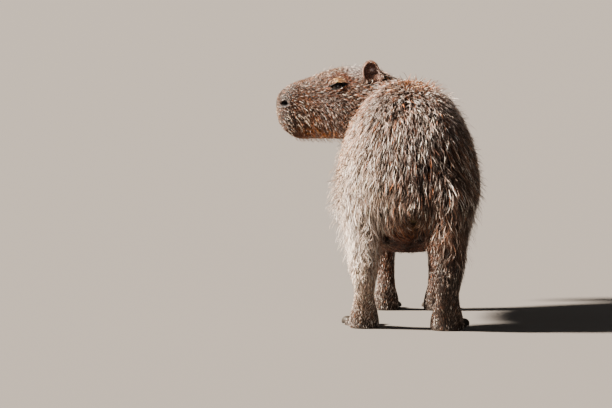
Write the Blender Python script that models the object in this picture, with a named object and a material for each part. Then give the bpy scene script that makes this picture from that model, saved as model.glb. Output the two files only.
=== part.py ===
"""A standing capybara with its head turned to its left, life size, in metres.

The animal faces -Y and its left side is +X. The body is lofted from rings at named stations, made one
skin with a voxel remesh, and then parted into head, neck, torso, legs and feet with thin cuts.
"""

import math
from collections import Counter
from itertools import combinations

import bmesh
import bpy
import numpy as np
from mathutils import Matrix, Vector
from mathutils.bvhtree import BVHTree

# Driving sizes
BACK_HEIGHT = 0.572
HEAD_PLANE_Y = -0.420
GAP = 0.0003
WELD = 0.000001
RING_SIDES = 36
STEPS_BETWEEN_STATIONS = 5
VOXEL = 0.004
REGION_TRIANGLES = {"trunk": 1800, "face": 1400, "feet": 1100}

# The coat: its depth on the torso, where short fur ends, and the share of it that is solid core
COAT_DEPTH = 0.022
SHORT_FUR = 0.006
CORE_SHARE = 0.45

# Locks: length and width on each node that carries them
LOCKS = {
    "torso": (0.112, 0.052),
    "neck": (0.090, 0.044),
    "hindleg_left": (0.090, 0.044),
    "hindleg_right": (0.090, 0.044),
    "foreleg_left": (0.076, 0.040),
    "foreleg_right": (0.076, 0.040),
}
LOCK_SEED = 8
LOCK_TRIES = 16000
LOCK_DRAWS = 8
# Spacing of the roots along the lie and across it, as shares of a lock's length and width
LOCK_SPACING = (0.69, 0.86)
LOCK_THICKNESS = 0.0060
LOCK_ROOT_SINK = 0.007
LOCK_CLEARANCE = 0.002
LOCK_FOLD_CLEARANCE = 0.0045
LOCK_BEND_CLEARANCE = 0.055
# Along a lock: share of its length, of its rise to the coat's tips, of its width and of its thickness
LOCK_SHARES = [(0.0, 0.0, 0.30, 1.0), (0.16, 0.80, 0.85, 1.0), (0.55, 0.95, 1.0, 0.8), (1.0, 1.0, 0.0, 0.0)]

# Torso rings along Y: station, belly height, back height, height of the widest level, half width, squareness
TORSO = [
    (0.402, 0.325, 0.400, 0.360, 0.040, 2.0),
    (0.388, 0.285, 0.452, 0.350, 0.090, 2.0),
    (0.355, 0.245, 0.508, 0.342, 0.128, 2.0),
    (0.290, 0.215, 0.548, 0.332, 0.152, 2.0),
    (0.190, 0.190, 0.567, 0.322, 0.163, 2.0),
    (0.070, 0.166, BACK_HEIGHT, 0.315, 0.167, 2.0),
    (-0.050, 0.160, 0.567, 0.315, 0.165, 2.0),
    (-0.150, 0.170, 0.556, 0.325, 0.158, 2.0),
    (-0.230, 0.188, 0.547, 0.345, 0.146, 2.0),
    (-0.300, 0.225, 0.535, 0.370, 0.122, 2.0),
    (-0.350, 0.275, 0.505, 0.385, 0.085, 2.0),
]
# Neck rings along a bend in plan: x, y, heading in degrees from -Y to +X, low, high, half width, squareness
NECK = [
    (-0.008, -0.190, 0, 0.215, 0.545, 0.130, 2.1),
    (-0.006, -0.270, 6, 0.245, 0.546, 0.122, 2.1),
    (0.003, -0.338, 28, 0.285, 0.551, 0.096, 2.1),
    (0.030, -0.388, 54, 0.330, 0.565, 0.078, 2.1),
    (0.074, -0.414, 78, 0.378, 0.576, 0.064, 2.2),
    (0.125, HEAD_PLANE_Y, 90, 0.407, 0.581, 0.058, 2.4),
]
# Where the neck bends about in plan, and the flesh on the inner side of the bend
NECK_BEND_X = 0.090
NECK_BEND_Y = -0.300
THROAT = Vector((0.040, -0.322, 0.375))
THROAT_RADII = (0.040, 0.045, 0.080)
# Head rings along X: station, jaw height, crown height, height of the widest level, half width, crown width
# as a share of it, squareness
HEAD = [
    (0.048, 0.396, 0.570, 0.473, 0.058, 1.00, 2.2),
    (0.092, 0.402, 0.580, 0.475, 0.063, 0.92, 2.3),
    (0.126, 0.405, 0.583, 0.476, 0.063, 0.86, 2.4),
    (0.160, 0.406, 0.580, 0.474, 0.060, 0.84, 2.6),
    (0.195, 0.406, 0.571, 0.469, 0.053, 0.86, 2.7),
    (0.230, 0.406, 0.557, 0.470, 0.047, 0.90, 2.8),
    (0.259, 0.407, 0.547, 0.476, 0.044, 0.94, 2.8),
    (0.281, 0.416, 0.538, 0.481, 0.042, 0.95, 2.7),
    (0.296, 0.431, 0.527, 0.483, 0.037, 0.95, 2.5),
    (0.307, 0.449, 0.516, 0.485, 0.028, 0.95, 2.3),
    (0.3135, 0.470, 0.502, 0.487, 0.014, 0.95, 2.1),
]
# Leg rings going down: height, x out from the leg's own line, y from its own line, half width, half depth
HIND_LEG = [
    (0.400, -0.022, -0.052, 0.050, 0.125),
    (0.340, -0.006, -0.048, 0.062, 0.145),
    (0.290, 0.000, -0.040, 0.059, 0.140),
    (0.245, 0.001, -0.030, 0.050, 0.118),
    (0.205, 0.000, -0.018, 0.042, 0.092),
    (0.170, 0.000, -0.004, 0.036, 0.066),
    (0.140, 0.000, 0.008, 0.031, 0.048),
    (0.112, 0.000, 0.012, 0.027, 0.039),
    (0.085, 0.000, 0.000, 0.025, 0.035),
    (0.058, 0.000, -0.022, 0.027, 0.036),
    (0.034, 0.000, -0.046, 0.033, 0.044),
    (0.012, 0.000, -0.056, 0.036, 0.046),
    (-0.004, 0.000, -0.056, 0.034, 0.044),
]
FORE_LEG = [
    (0.400, 0.030, 0.055, 0.045, 0.080),
    (0.330, 0.040, 0.050, 0.050, 0.088),
    (0.270, 0.032, 0.042, 0.044, 0.076),
    (0.220, 0.019, 0.026, 0.034, 0.055),
    (0.175, 0.008, 0.010, 0.027, 0.039),
    (0.130, 0.002, 0.002, 0.0235, 0.030),
    (0.090, 0.000, 0.000, 0.0215, 0.026),
    (0.058, 0.000, -0.004, 0.0225, 0.027),
    (0.034, 0.000, -0.018, 0.029, 0.034),
    (0.012, 0.000, -0.026, 0.032, 0.037),
    (-0.004, 0.000, -0.026, 0.030, 0.035),
]
# Where each leg's own line stands on the floor, how far out its foot turns, and its girth
LEGS = {
    "hindleg_left": {"rings": HIND_LEG, "side": 1, "x": 0.105, "y": 0.255, "toe_out": 6, "girth": 0.98},
    "hindleg_right": {"rings": HIND_LEG, "side": -1, "x": 0.087, "y": 0.315, "toe_out": 8, "girth": 1.10},
    "foreleg_left": {"rings": FORE_LEG, "side": 1, "x": 0.047, "y": -0.248, "toe_out": 4, "girth": 1.0},
    "foreleg_right": {"rings": FORE_LEG, "side": -1, "x": 0.075, "y": -0.240, "toe_out": 8, "girth": 1.0},
}
# Toes: splay in degrees, length from the foot's middle
FORE_TOES = [(-34, 0.054), (-11, 0.066), (11, 0.066), (34, 0.054)]
HIND_TOES = [(-23, 0.080), (0, 0.092), (23, 0.080)]
FORE_TOE_RADIUS = 0.0100
HIND_TOE_RADIUS = 0.0130
TOE_RING_SHARES = [(0.0, 1.15), (0.45, 1.05), (0.8, 1.0), (1.0, 0.80)]
CLAW_SHARES = [(-0.9, 0.74, 0.62), (0.1, 0.88, 0.74), (1.0, 0.34, 0.26)]
CLAW_LENGTH = 0.018
SOLE_SINK = 0.006

# Parting: planes and the outlines of thigh and shoulder, going down
HEAD_CUT_AT = Vector((0.092, -0.353, 0.480))
HEAD_CUT_HEADING = 50
HEAD_CUT_REACH = 0.25
NECK_CUT_AT = Vector((0.0, -0.272, 0.380))
NECK_CUT_SLOPE = 22
THIGH = [
    (0.455, 0.040, -0.045, 0.030, 0.035),
    (0.440, 0.038, -0.045, 0.055, 0.075),
    (0.395, 0.034, -0.040, 0.078, 0.118),
    (0.335, 0.028, -0.034, 0.087, 0.140),
    (0.270, 0.022, -0.028, 0.086, 0.138),
    (0.215, 0.010, -0.020, 0.078, 0.125),
    (0.165, 0.000, -0.010, 0.070, 0.115),
    (0.100, 0.000, -0.020, 0.066, 0.110),
    (0.050, 0.000, -0.065, 0.072, 0.125),
    (-0.020, 0.000, -0.075, 0.075, 0.130),
]
SHOULDER = [
    (0.400, 0.085, 0.045, 0.025, 0.030),
    (0.385, 0.083, 0.045, 0.045, 0.055),
    (0.345, 0.076, 0.040, 0.066, 0.078),
    (0.290, 0.064, 0.032, 0.072, 0.086),
    (0.235, 0.044, 0.020, 0.066, 0.080),
    (0.190, 0.020, 0.006, 0.056, 0.074),
    (0.140, 0.004, 0.000, 0.052, 0.070),
    (0.070, 0.000, -0.015, 0.055, 0.080),
    (-0.020, 0.000, -0.045, 0.068, 0.105),
]
FORE_FOOT_CUT_Z = 0.054
HIND_FOOT_CUT_Z = 0.088

# Face, with y measured out from the head's own plane
EYE_RADIUS = 0.0145
EYE = Vector((0.1640, 0.0385, 0.5365))
EYE_OPENING = (0.0150, 0.0056)
EYE_TILT = 12
LID_THICKNESS = 0.0040
NOSTRIL = Vector((0.2930, 0.0315, 0.4935))
NOSTRIL_SIZE = Vector((0.0100, 0.0075, 0.0055))
MOUTH_AXIS = Vector((0.239, 0.0, 0.4330))
MOUTH_FRONT_RISE = 0.006
MOUTH_REACH = 100
MOUTH_POINTS = 19
MOUTH_GROOVE_RADIUS = 0.0022
LIP_RADIUS = 0.0065
LIP_SPACING = 0.0060
EAR_ROOT = Vector((0.0760, 0.0395, 0.5390))
EAR_UP = Vector((0.22, 0.03, 1.00))
EAR_FACING = Vector((-0.12, 1.00, -0.10))
EAR_LENGTH = 0.056
EAR_WIDTH = 0.038
EAR_WIDEST = 0.55
EAR_THICKNESS = 0.0038
EAR_CUP_DEPTH = 0.011

COLOURS = {
    "coat": ((0.300, 0.205, 0.140), 0.85),
    "ear": ((0.200, 0.140, 0.120), 0.70),
    "foot": ((0.160, 0.115, 0.085), 0.70),
    "claw": ((0.070, 0.060, 0.052), 0.45),
    "eye": ((0.012, 0.008, 0.006), 0.08),
}
UP = Vector((0, 0, 1))
SIDES = {"left": 1, "right": -1}


def clear_scene():
    for obj in list(bpy.data.objects):
        bpy.data.objects.remove(obj)


def material(name):
    colour, roughness = COLOURS[name]
    made = bpy.data.materials.get(name) or bpy.data.materials.new(name)
    made.use_nodes = True
    shader = made.node_tree.nodes["Principled BSDF"]
    shader.inputs["Base Color"].default_value = (*colour, 1.0)
    shader.inputs["Roughness"].default_value = roughness
    shader.inputs["Metallic"].default_value = 0.0
    return made


def through_stations(rows, steps=STEPS_BETWEEN_STATIONS):
    """Rows read from a smooth curve through the station rows."""
    rows = np.array(rows, float)
    padded = np.vstack([2 * rows[0] - rows[1], rows, 2 * rows[-1] - rows[-2]])
    shares = np.arange(steps)[:, None] / steps
    made = []
    for before, start, end, after in zip(padded, padded[1:], padded[2:], padded[3:]):
        made.append(
            0.5 * (2 * start + (end - before) * shares
                   + (2 * before - 5 * start + 4 * end - after) * shares**2
                   + (3 * start - before - 3 * end + after) * shares**3)
        )
    return np.vstack([*made, rows[-1:]])


def ring(centre, side, up, half_width, reach_up, reach_down, squareness, crown=1.0, sides=RING_SIDES):
    """Points round a section. Its half width shrinks to crown times that at the top."""
    points = []
    for angle in np.linspace(0, 2 * math.pi, sides, endpoint=False):
        across = math.copysign(abs(math.cos(angle)) ** (2 / squareness), math.cos(angle))
        rise = math.copysign(abs(math.sin(angle)) ** (2 / squareness), math.sin(angle))
        width = half_width * (1 + (crown - 1) * max(rise, 0))
        reach = reach_up if rise > 0 else reach_down
        points.append(centre + side * (width * across) + up * (reach * rise))
    return points


def object_from(name, mesh):
    obj = bpy.data.objects.new(name, mesh)
    bpy.context.scene.collection.objects.link(obj)
    return obj


def mesh_from_bmesh(name, bm):
    bmesh.ops.recalc_face_normals(bm, faces=bm.faces)
    mesh = bpy.data.meshes.new(name)
    bm.to_mesh(mesh)
    bm.free()
    return mesh


def loft(name, rings, tip=None):
    """One closed body through the rings, with a flat face on each end or a point as its tip."""
    bm = bmesh.new()
    loops = [[bm.verts.new(point) for point in points] for points in rings]
    count = len(loops[0])
    for first, second in zip(loops, loops[1:]):
        for i in range(count):
            bm.faces.new((first[i], first[(i + 1) % count], second[(i + 1) % count], second[i]))
    bm.faces.new(loops[0])
    if tip is None:
        bm.faces.new(loops[-1])
    else:
        end = bm.verts.new(tip)
        for i in range(count):
            bm.faces.new((loops[-1][i], loops[-1][(i + 1) % count], end))
    return object_from(name, mesh_from_bmesh(name, bm))


def tube(name, points, radii, sides=8):
    """A round tube through the points, each ring square to the path."""
    rings = []
    for i, (point, radius) in enumerate(zip(points, radii)):
        along = (points[min(i + 1, len(points) - 1)] - points[max(i - 1, 0)]).normalized()
        side = along.cross(UP if abs(along.z) < 0.9 else Vector((1, 0, 0))).normalized()
        rings.append(ring(point, side, side.cross(along), radius, radius, radius, 2.0, sides=sides))
    return loft(name, rings)


def ellipsoid(name, centre, radii, turn=None, detail=3):
    bm = bmesh.new()
    bmesh.ops.create_icosphere(bm, subdivisions=detail, radius=1.0)
    bmesh.ops.scale(bm, vec=radii, verts=bm.verts)
    if turn:
        bmesh.ops.rotate(bm, cent=(0, 0, 0), matrix=turn, verts=bm.verts)
    bmesh.ops.translate(bm, vec=centre, verts=bm.verts)
    return object_from(name, mesh_from_bmesh(name, bm))


def slab(name, centre, normal, half_sizes):
    """A box whose first size lies along the normal, its second level across it, its third the rest."""
    normal = normal.normalized()
    across = UP.cross(normal).normalized()
    turn = Matrix((normal, across, normal.cross(across))).transposed()
    bm = bmesh.new()
    bmesh.ops.create_cube(bm, size=2.0)
    bmesh.ops.scale(bm, vec=half_sizes, verts=bm.verts)
    bmesh.ops.rotate(bm, cent=(0, 0, 0), matrix=turn, verts=bm.verts)
    bmesh.ops.translate(bm, vec=centre, verts=bm.verts)
    return object_from(name, mesh_from_bmesh(name, bm))


def evaluated_mesh(obj):
    graph = bpy.context.evaluated_depsgraph_get()
    return bpy.data.meshes.new_from_object(obj.evaluated_get(graph))


def bake_modifiers(obj):
    obj.data = evaluated_mesh(obj)
    obj.modifiers.clear()
    return obj


def join(name, objects):
    """One object that holds the meshes of all of these, still overlapping."""
    bm = bmesh.new()
    for obj in objects:
        bm.from_mesh(obj.data)
        bpy.data.objects.remove(obj)
    mesh = bpy.data.meshes.new(name)
    bm.to_mesh(mesh)
    bm.free()
    return object_from(name, mesh)


def copy_of(obj, name):
    return object_from(name, obj.data.copy())


def grown(obj, amount=GAP):
    """A copy with its faces moved out along their normals."""
    bm = bmesh.new()
    bm.from_mesh(obj.data)
    moves = [vertex.normal * amount * min(vertex.calc_shell_factor(), 2.0) for vertex in bm.verts]
    for vertex, move in zip(bm.verts, moves):
        vertex.co += move
    return object_from("grown", mesh_from_bmesh("grown", bm))


def boolean(obj, other, operation, solver="EXACT"):
    """Applies one Boolean with another object, which is then removed."""
    modifier = obj.modifiers.new(operation.lower(), "BOOLEAN")
    modifier.operation = operation
    modifier.solver = solver
    modifier.object = other
    bake_modifiers(obj)
    bpy.data.objects.remove(other)
    return obj


def shells_of(bm):
    left = set(bm.verts)
    shells = []
    while left:
        stack = [left.pop()]
        shell = set(stack)
        while stack:
            vertex = stack.pop()
            for edge in vertex.link_edges:
                other = edge.other_vert(vertex)
                if other in left:
                    left.discard(other)
                    shell.add(other)
                    stack.append(other)
        shells.append(shell)
    return shells


def touches_itself(obj):
    """Whether any edge would join more than two faces once vertices that almost meet are one."""
    bm = bmesh.new()
    bm.from_mesh(obj.data)
    bmesh.ops.triangulate(bm, faces=bm.faces[:])
    faces_at = Counter()
    for face in bm.faces:
        corners = {tuple(round(value / WELD) for value in vertex.co) for vertex in face.verts}
        if len(corners) == 3:
            faces_at.update(frozenset(pair) for pair in combinations(corners, 2))
    bm.free()
    return max(faces_at.values()) > 2


def keep_largest(obj):
    """Leaves only the node's largest closed surface."""
    bm = bmesh.new()
    bm.from_mesh(obj.data)
    shells = shells_of(bm)
    largest = max(shells, key=len)
    scraps = [vertex for shell in shells if shell is not largest for vertex in shell]
    bmesh.ops.delete(bm, geom=scraps, context="VERTS")
    bm.to_mesh(obj.data)
    bm.free()
    return obj


def torso_form():
    rings = []
    for y, low, high, wide, half_width, squareness in through_stations(TORSO):
        centre = Vector((0, y, wide))
        rings.append(ring(centre, Vector((1, 0, 0)), UP, half_width, high - wide, wide - low, squareness))
    return loft("torso form", rings)


def neck_form():
    rings = []
    for x, y, heading, low, high, half_width, squareness in through_stations(NECK):
        turn = math.radians(heading)
        side = Vector((math.cos(turn), math.sin(turn), 0))
        centre = Vector((x, y, (low + high) / 2))
        reach = (high - low) / 2
        rings.append(ring(centre, side, UP, half_width, reach, reach, squareness))
    return loft("neck form", rings)


def head_form():
    rings = []
    for x, low, high, wide, half_width, crown, squareness in through_stations(HEAD):
        centre = Vector((x, HEAD_PLANE_Y, wide))
        rings.append(ring(centre, Vector((0, 1, 0)), UP,
                          half_width, high - wide, wide - low, squareness, crown))
    return loft("head form", rings)


def on_head(place, side):
    """World place of a face feature that is given out from the head's plane."""
    return Vector((place.x, HEAD_PLANE_Y + side * place.y, place.z))


def mouth_path(skin, drop, sink):
    """Points along the mouth from one corner round the front to the other, on the head's skin."""
    points = []
    for turn in np.linspace(-MOUTH_REACH, MOUTH_REACH, MOUTH_POINTS):
        heading = Vector((math.cos(math.radians(turn)), math.sin(math.radians(turn)), 0))
        rise = MOUTH_FRONT_RISE * (1 - abs(turn) / MOUTH_REACH)
        start = on_head(MOUTH_AXIS, 1) + UP * (rise + drop)
        hit = skin.ray_cast(start, heading)[0]
        points.append(hit - heading * sink)
    return points


def mouth_shares():
    """Thickness along the mouth: full round the front, fading to the corners."""
    return [max(0.25, 1 - abs(share) ** 4) for share in np.linspace(-1, 1, MOUTH_POINTS)]


def lip_forms(skin):
    forms = []
    for drop in (LIP_SPACING, -LIP_SPACING):
        radii = [LIP_RADIUS * share for share in mouth_shares()]
        forms.append(tube("lip", mouth_path(skin, drop, LIP_RADIUS * 0.55), radii))
    return forms


def face_forms(head):
    """Swellings of lids, nostril wings and lips, which the remesh blends into the head."""
    skin = BVHTree.FromObject(head, bpy.context.evaluated_depsgraph_get())
    forms = lip_forms(skin)
    lid = EYE_RADIUS + LID_THICKNESS
    for side in SIDES.values():
        forms.append(ellipsoid("lids", on_head(EYE, side), (lid * 1.15, lid, lid)))
        wing = NOSTRIL_SIZE + Vector((0.004, 0.002, 0.005))
        forms.append(ellipsoid("nostril wing", on_head(NOSTRIL, side), wing))
    return forms


def leg_rings(leg, rows, girth=1.0, grow=0.0, steps=STEPS_BETWEEN_STATIONS, sides=RING_SIDES):
    rings = []
    for z, out, along, half_width, half_depth in through_stations(rows, steps):
        centre = Vector((leg["side"] * (leg["x"] + out), leg["y"] + along, z))
        depth = half_depth + grow
        rings.append(ring(centre, Vector((1, 0, 0)), Vector((0, 1, 0)),
                          half_width * girth + grow, depth, depth, 2.1, sides=sides))
    return rings


def leg_form(leg):
    return loft("leg form", leg_rings(leg, leg["rings"], leg["girth"]))


def limb_outline(leg, grow=0.0):
    """The closed outline that parts a limb from the torso."""
    rows = THIGH if leg["rings"] is HIND_LEG else SHOULDER
    rings = leg_rings(leg, rows, grow=grow, steps=1, sides=16)
    rings[0] = [point + UP * grow for point in rings[0]]
    return loft("limb outline", rings)


def foot_middle(leg):
    return Vector((leg["side"] * leg["x"], leg["y"] + leg["rings"][-1][2], 0))


def toes_of(leg):
    """Root, heading, length and radius of each toe of a leg."""
    fore = leg["rings"] is FORE_LEG
    radius = FORE_TOE_RADIUS if fore else HIND_TOE_RADIUS
    for splay, length in FORE_TOES if fore else HIND_TOES:
        turn = math.radians(splay + leg["side"] * leg["toe_out"])
        yield foot_middle(leg), Vector((math.sin(turn), -math.cos(turn), 0)), length, radius


def toe_form(root, heading, length, radius):
    rings = []
    for share, girth in TOE_RING_SHARES:
        reach = radius * girth
        centre = root + heading * (length * share) + UP * (reach - SOLE_SINK)
        rings.append(ring(centre, heading.cross(UP), UP, reach, reach, reach, 2.2, sides=12))
    return loft("toe form", rings)


def claw_form(root, heading, length, radius):
    """A blunt hoof-like nail that runs back into the toe."""
    rings = []
    for share, width, height in CLAW_SHARES:
        centre = root + heading * (length + CLAW_LENGTH * share) + UP * (0.0015 + radius * height)
        rings.append(ring(centre, heading.cross(UP), UP,
                          radius * width, radius * height, radius * height, 2.4, sides=6))
    return loft("claw form", rings)


def eased(values, start, end):
    """0 at the start, 1 at the end, with a soft change between."""
    share = np.clip((values - start) / (end - start), 0.0, 1.0)
    return share * share * (3 - 2 * share)


def coat_depth(points):
    """How deep the coat stands on the skin at each point."""
    x, y, z = points.T
    depth = 0.003 + (COAT_DEPTH - 0.003) * eased(z, 0.09, 0.22)
    to_face = eased(x, 0.040, 0.135) * eased(y, -0.320, -0.360) * eased(z, 0.350, 0.410)
    face_depth = 0.005 - 0.004 * np.clip((x - 0.16) / 0.15, 0.0, 1.0)
    return depth * (1 - to_face) + face_depth * to_face


def lock_rise(points):
    """How far the tips of the long coat stand above its core."""
    share = np.clip((coat_depth(points) - SHORT_FUR) / (COAT_DEPTH - SHORT_FUR), 0.0, 1.0)
    return (1 - CORE_SHARE) * COAT_DEPTH * share


def to_core(body):
    """Moves the outline of the long coat in to its core."""
    sink = lock_rise(np.array([vertex.co for vertex in body.data.vertices]))
    normals = [vertex.normal.copy() for vertex in body.data.vertices]
    for vertex, normal, depth in zip(body.data.vertices, normals, sink):
        vertex.co -= normal * depth


def region_of(place):
    x, y, z = place
    if z < 0.078:
        return "feet"
    if x > 0.100 and y < -0.33 and z > 0.36:
        return "face"
    return "trunk"


def weigh(body):
    """Vertex groups that keep face and feet crisp and soften the neck's bend."""
    soften = body.vertex_groups.new(name="soften")
    bend = body.vertex_groups.new(name="bend")
    crisp = {"feet": 0.10, "face": 0.22, "trunk": 1.0}
    for vertex in body.data.vertices:
        x, y, z = vertex.co
        soften.add([vertex.index], crisp[region_of(vertex.co)], "REPLACE")
        bend.add([vertex.index], 1.0 if y < -0.19 and x < 0.105 and z > 0.23 else 0.0, "REPLACE")


def thin_out(body):
    """Brings each region down to its own number of triangles."""
    for region, wanted in REGION_TRIANGLES.items():
        group = body.vertex_groups.new(name=region)
        inside = [vertex.index for vertex in body.data.vertices if region_of(vertex.co) == region]
        group.add(inside, 1.0, "REPLACE")
        body.data.calc_loop_triangles()
        total = len(body.data.loop_triangles)
        decimate = body.modifiers.new("fewer faces", "DECIMATE")
        decimate.ratio = (total - 2 * len(inside) + wanted) / total
        decimate.vertex_group = region
        decimate.vertex_group_factor = 1.0
        bake_modifiers(body)


def smooth(obj, group, iterations):
    modifier = obj.modifiers.new("smooth", "SMOOTH")
    modifier.factor = 0.6
    modifier.iterations = iterations
    modifier.vertex_group = group


def one_skin(body):
    """Makes one closed surface without folds, and weighs its parts for smoothing."""
    body.vertex_groups.clear()
    remesh = body.modifiers.new("one skin", "REMESH")
    remesh.mode = "VOXEL"
    remesh.voxel_size = VOXEL
    bake_modifiers(body)
    weigh(body)


def body_skin():
    """The whole body as one smooth closed skin."""
    head = head_form()
    throat = ellipsoid("throat", THROAT, THROAT_RADII)
    forms = [torso_form(), neck_form(), throat, *face_forms(head), head]
    for leg in LEGS.values():
        forms.append(leg_form(leg))
        forms.extend(toe_form(*toe) for toe in toes_of(leg))
    body = join("body", forms)
    one_skin(body)
    smooth(body, "soften", 36)
    smooth(body, "bend", 120)
    bake_modifiers(body)
    to_core(body)
    one_skin(body)
    smooth(body, "soften", 4)
    bake_modifiers(body)
    thin_out(body)
    body.vertex_groups.clear()
    return boolean(body, slab("floor", Vector((0, 0, -0.05)), Vector((1, 0, 0)), (1, 1, 0.05)), "DIFFERENCE")


def almond(side):
    """The opening between the lids, as a prism that runs out of the head."""
    half_length, half_height = EYE_OPENING
    tilt = math.radians(EYE_TILT)
    outline = []
    for angle in np.linspace(0, 2 * math.pi, 16, endpoint=False):
        along = half_length * math.cos(angle)
        rise = half_height * math.sin(angle) * (1 - 0.35 * abs(math.cos(angle)) ** 3)
        outline.append(Vector((along * math.cos(tilt) + rise * math.sin(tilt), 0,
                               -along * math.sin(tilt) + rise * math.cos(tilt))))
    centre = on_head(EYE, side)
    out = Vector((0, side, 0))
    rings = [[centre + point * scale + out * reach for point in outline]
             for reach, scale in ((EYE_RADIUS * 0.2, 0.9), (EYE_RADIUS + 0.02, 1.35))]
    return loft("eye opening", rings)


def carve_face(head):
    """Cuts eye sockets, nostrils and the line of the mouth."""
    skin = BVHTree.FromObject(head, bpy.context.evaluated_depsgraph_get())
    for side in SIDES.values():
        radius = EYE_RADIUS + GAP
        boolean(head, ellipsoid("socket", on_head(EYE, side), (radius,) * 3, detail=2), "DIFFERENCE")
        boolean(head, almond(side), "DIFFERENCE")
        out = on_head(NOSTRIL + Vector((0.003, 0.0050, 0)), side)
        boolean(head, ellipsoid("nostril", out, NOSTRIL_SIZE, detail=2), "DIFFERENCE")
    radii = [MOUTH_GROOVE_RADIUS * share for share in mouth_shares()]
    boolean(head, tube("mouth line", mouth_path(skin, 0.0, 0.0), radii, sides=5), "DIFFERENCE")
    return keep_largest(head)


def ear_point(side, across, along, depth):
    """A place on the ear: across from front to back edge, along from root to tip, depth into the cup."""
    up = EAR_UP.normalized()
    facing = (EAR_FACING - up * EAR_FACING.dot(up)).normalized()
    front = up.cross(facing)
    beyond = max(along - EAR_WIDEST, 0) / (1 - EAR_WIDEST)
    narrow = 1 - 0.32 * (1 - min(along / EAR_WIDEST, 1)) ** 1.5
    width = EAR_WIDTH / 2 * narrow * math.sqrt(max(1 - beyond**2, 0.03))
    cup = EAR_CUP_DEPTH * across**2 * (1 - 0.6 * beyond) + 0.5 * EAR_CUP_DEPTH * beyond**2
    place = EAR_ROOT + up * (EAR_LENGTH * along) + front * (width * across) + facing * (cup + depth)
    return on_head(place, side)


def ear_form(side):
    """A rounded shell, hollow on its outer side."""
    across = np.linspace(-1, 1, 7)
    along = [-0.25, 0.1, 0.35, 0.58, 0.78, 0.92, 1.0]
    bm = bmesh.new()
    sheets = []
    for depth in (0.0, EAR_THICKNESS):
        sheets.append([[bm.verts.new(ear_point(side, u, v, depth)) for u in across] for v in along])
    for sheet in sheets:
        for low, high in zip(sheet, sheet[1:]):
            for i in range(len(across) - 1):
                quad = (low[i], low[i + 1], high[i + 1])
                rest = (low[i], high[i + 1], high[i])
                bm.faces.new(quad)
                bm.faces.new(rest)
    rims = [[*sheet[0], *[row[-1] for row in sheet[1:]], *reversed(sheet[-1][:-1]),
             *[row[0] for row in reversed(sheet[1:-1])]] for sheet in sheets]
    count = len(rims[0])
    for i in range(count):
        following = (i + 1) % count
        bm.faces.new((rims[0][i], rims[0][following], rims[1][following], rims[1][i]))
    return object_from("ear form", mesh_from_bmesh("ear form", bm))


def lie(place, normal):
    """The way the coat lies: back from the face, round the neck, along the trunk and down the legs."""
    bend = Vector((place.x - NECK_BEND_X, place.y - NECK_BEND_Y, 0))
    if place.x > NECK_BEND_X and place.y < HEAD_PLANE_Y + 0.085:
        flow = Vector((-1, 0, -0.15))
    elif place.y < NECK_BEND_Y:
        flow = Vector((bend.y, -bend.x, 0)).normalized() - UP * 0.35
    else:
        low = min(max((0.30 - place.z) / 0.15, 0), 1)
        flow = Vector((0.35 * place.x / 0.16, 1, -0.55 - 2.5 * low))
    flow -= normal * flow.dot(normal)
    return flow.normalized()


def lock_form(core, root, length, width, rng):
    """One flat, tapered lock that leaves the core at its root and rises to the coat's tips."""
    turn = rng.uniform(-0.22, 0.22)
    bend = rng.uniform(-0.35, 0.35)
    place, before, rings, spine = root.copy(), 0.0, [], []
    for share, rise, breadth, thickness in LOCK_SHARES:
        place, normal, _, _ = core.find_nearest(place)
        along = Matrix.Rotation(turn + bend * share, 3, normal) @ lie(place, normal)
        place = core.find_nearest(place + along * length * (share - before))[0]
        before = share
        top = lock_rise(np.array([place]))[0]
        height = -LOCK_ROOT_SINK + (top + LOCK_ROOT_SINK) * rise
        side = along.cross(normal) * (width * breadth / 2)
        thick = normal * (LOCK_THICKNESS * thickness)
        middle = place + normal * (height - LOCK_THICKNESS * thickness)
        rings.append([middle - side, middle + side, middle + thick] if breadth else [middle])
        reach = max(height, 0.0) + LOCK_CLEARANCE
        spine.extend((corner, reach) for corner in (place - side, place + side, middle + thick))
    return rings, spine


def rises_clear(rings, core):
    """Whether the lock isn't pinched in a fold of the core or in the neck's bend."""
    tip = rings[-1][0]
    if math.hypot(tip.x - NECK_BEND_X, tip.y - NECK_BEND_Y) < LOCK_BEND_CLEARANCE:
        return False
    for share, points in zip(LOCK_SHARES, rings):
        if share[1] and core.find_nearest(points[-1])[3] < LOCK_FOLD_CLEARANCE:
            return False
    return True


def stays_on_node(spine, others):
    """Whether every corner of a lock is nearer its own node than any other, with room to spare."""
    return all(others.find_nearest(place, reach)[0] is None for place, reach in spine)


def too_close(root, flow, roots, sizes):
    """Whether a root crowds another, with more room asked for along the lie than across it."""
    length, width = sizes
    for other in roots:
        apart = other - root
        along = apart.dot(flow) / (length * LOCK_SPACING[0])
        across = (apart - flow * apart.dot(flow)).length / (width * LOCK_SPACING[1])
        if along**2 + across**2 < 1:
            return True
    return False


def random_places(obj, rng, count):
    """Places spread at random over a mesh, as many as its area asks for."""
    obj.data.calc_loop_triangles()
    corners = [[obj.data.vertices[i].co for i in tri.vertices] for tri in obj.data.loop_triangles]
    areas = np.array([tri.area for tri in obj.data.loop_triangles])
    for index in rng.choice(len(areas), count, p=areas / areas.sum()):
        a, b, c = corners[index]
        u, v = sorted(rng.uniform(0, 1, 2))
        yield a * u + b * (v - u) + c * (1 - v)


def tree_of(objects):
    """A search tree over the surfaces of several meshes."""
    places, faces = [], []
    for obj in objects:
        start = len(places)
        places.extend(vertex.co.copy() for vertex in obj.data.vertices)
        faces.extend([start + i for i in polygon.vertices] for polygon in obj.data.polygons)
    return BVHTree.FromPolygons(places, faces)


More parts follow.
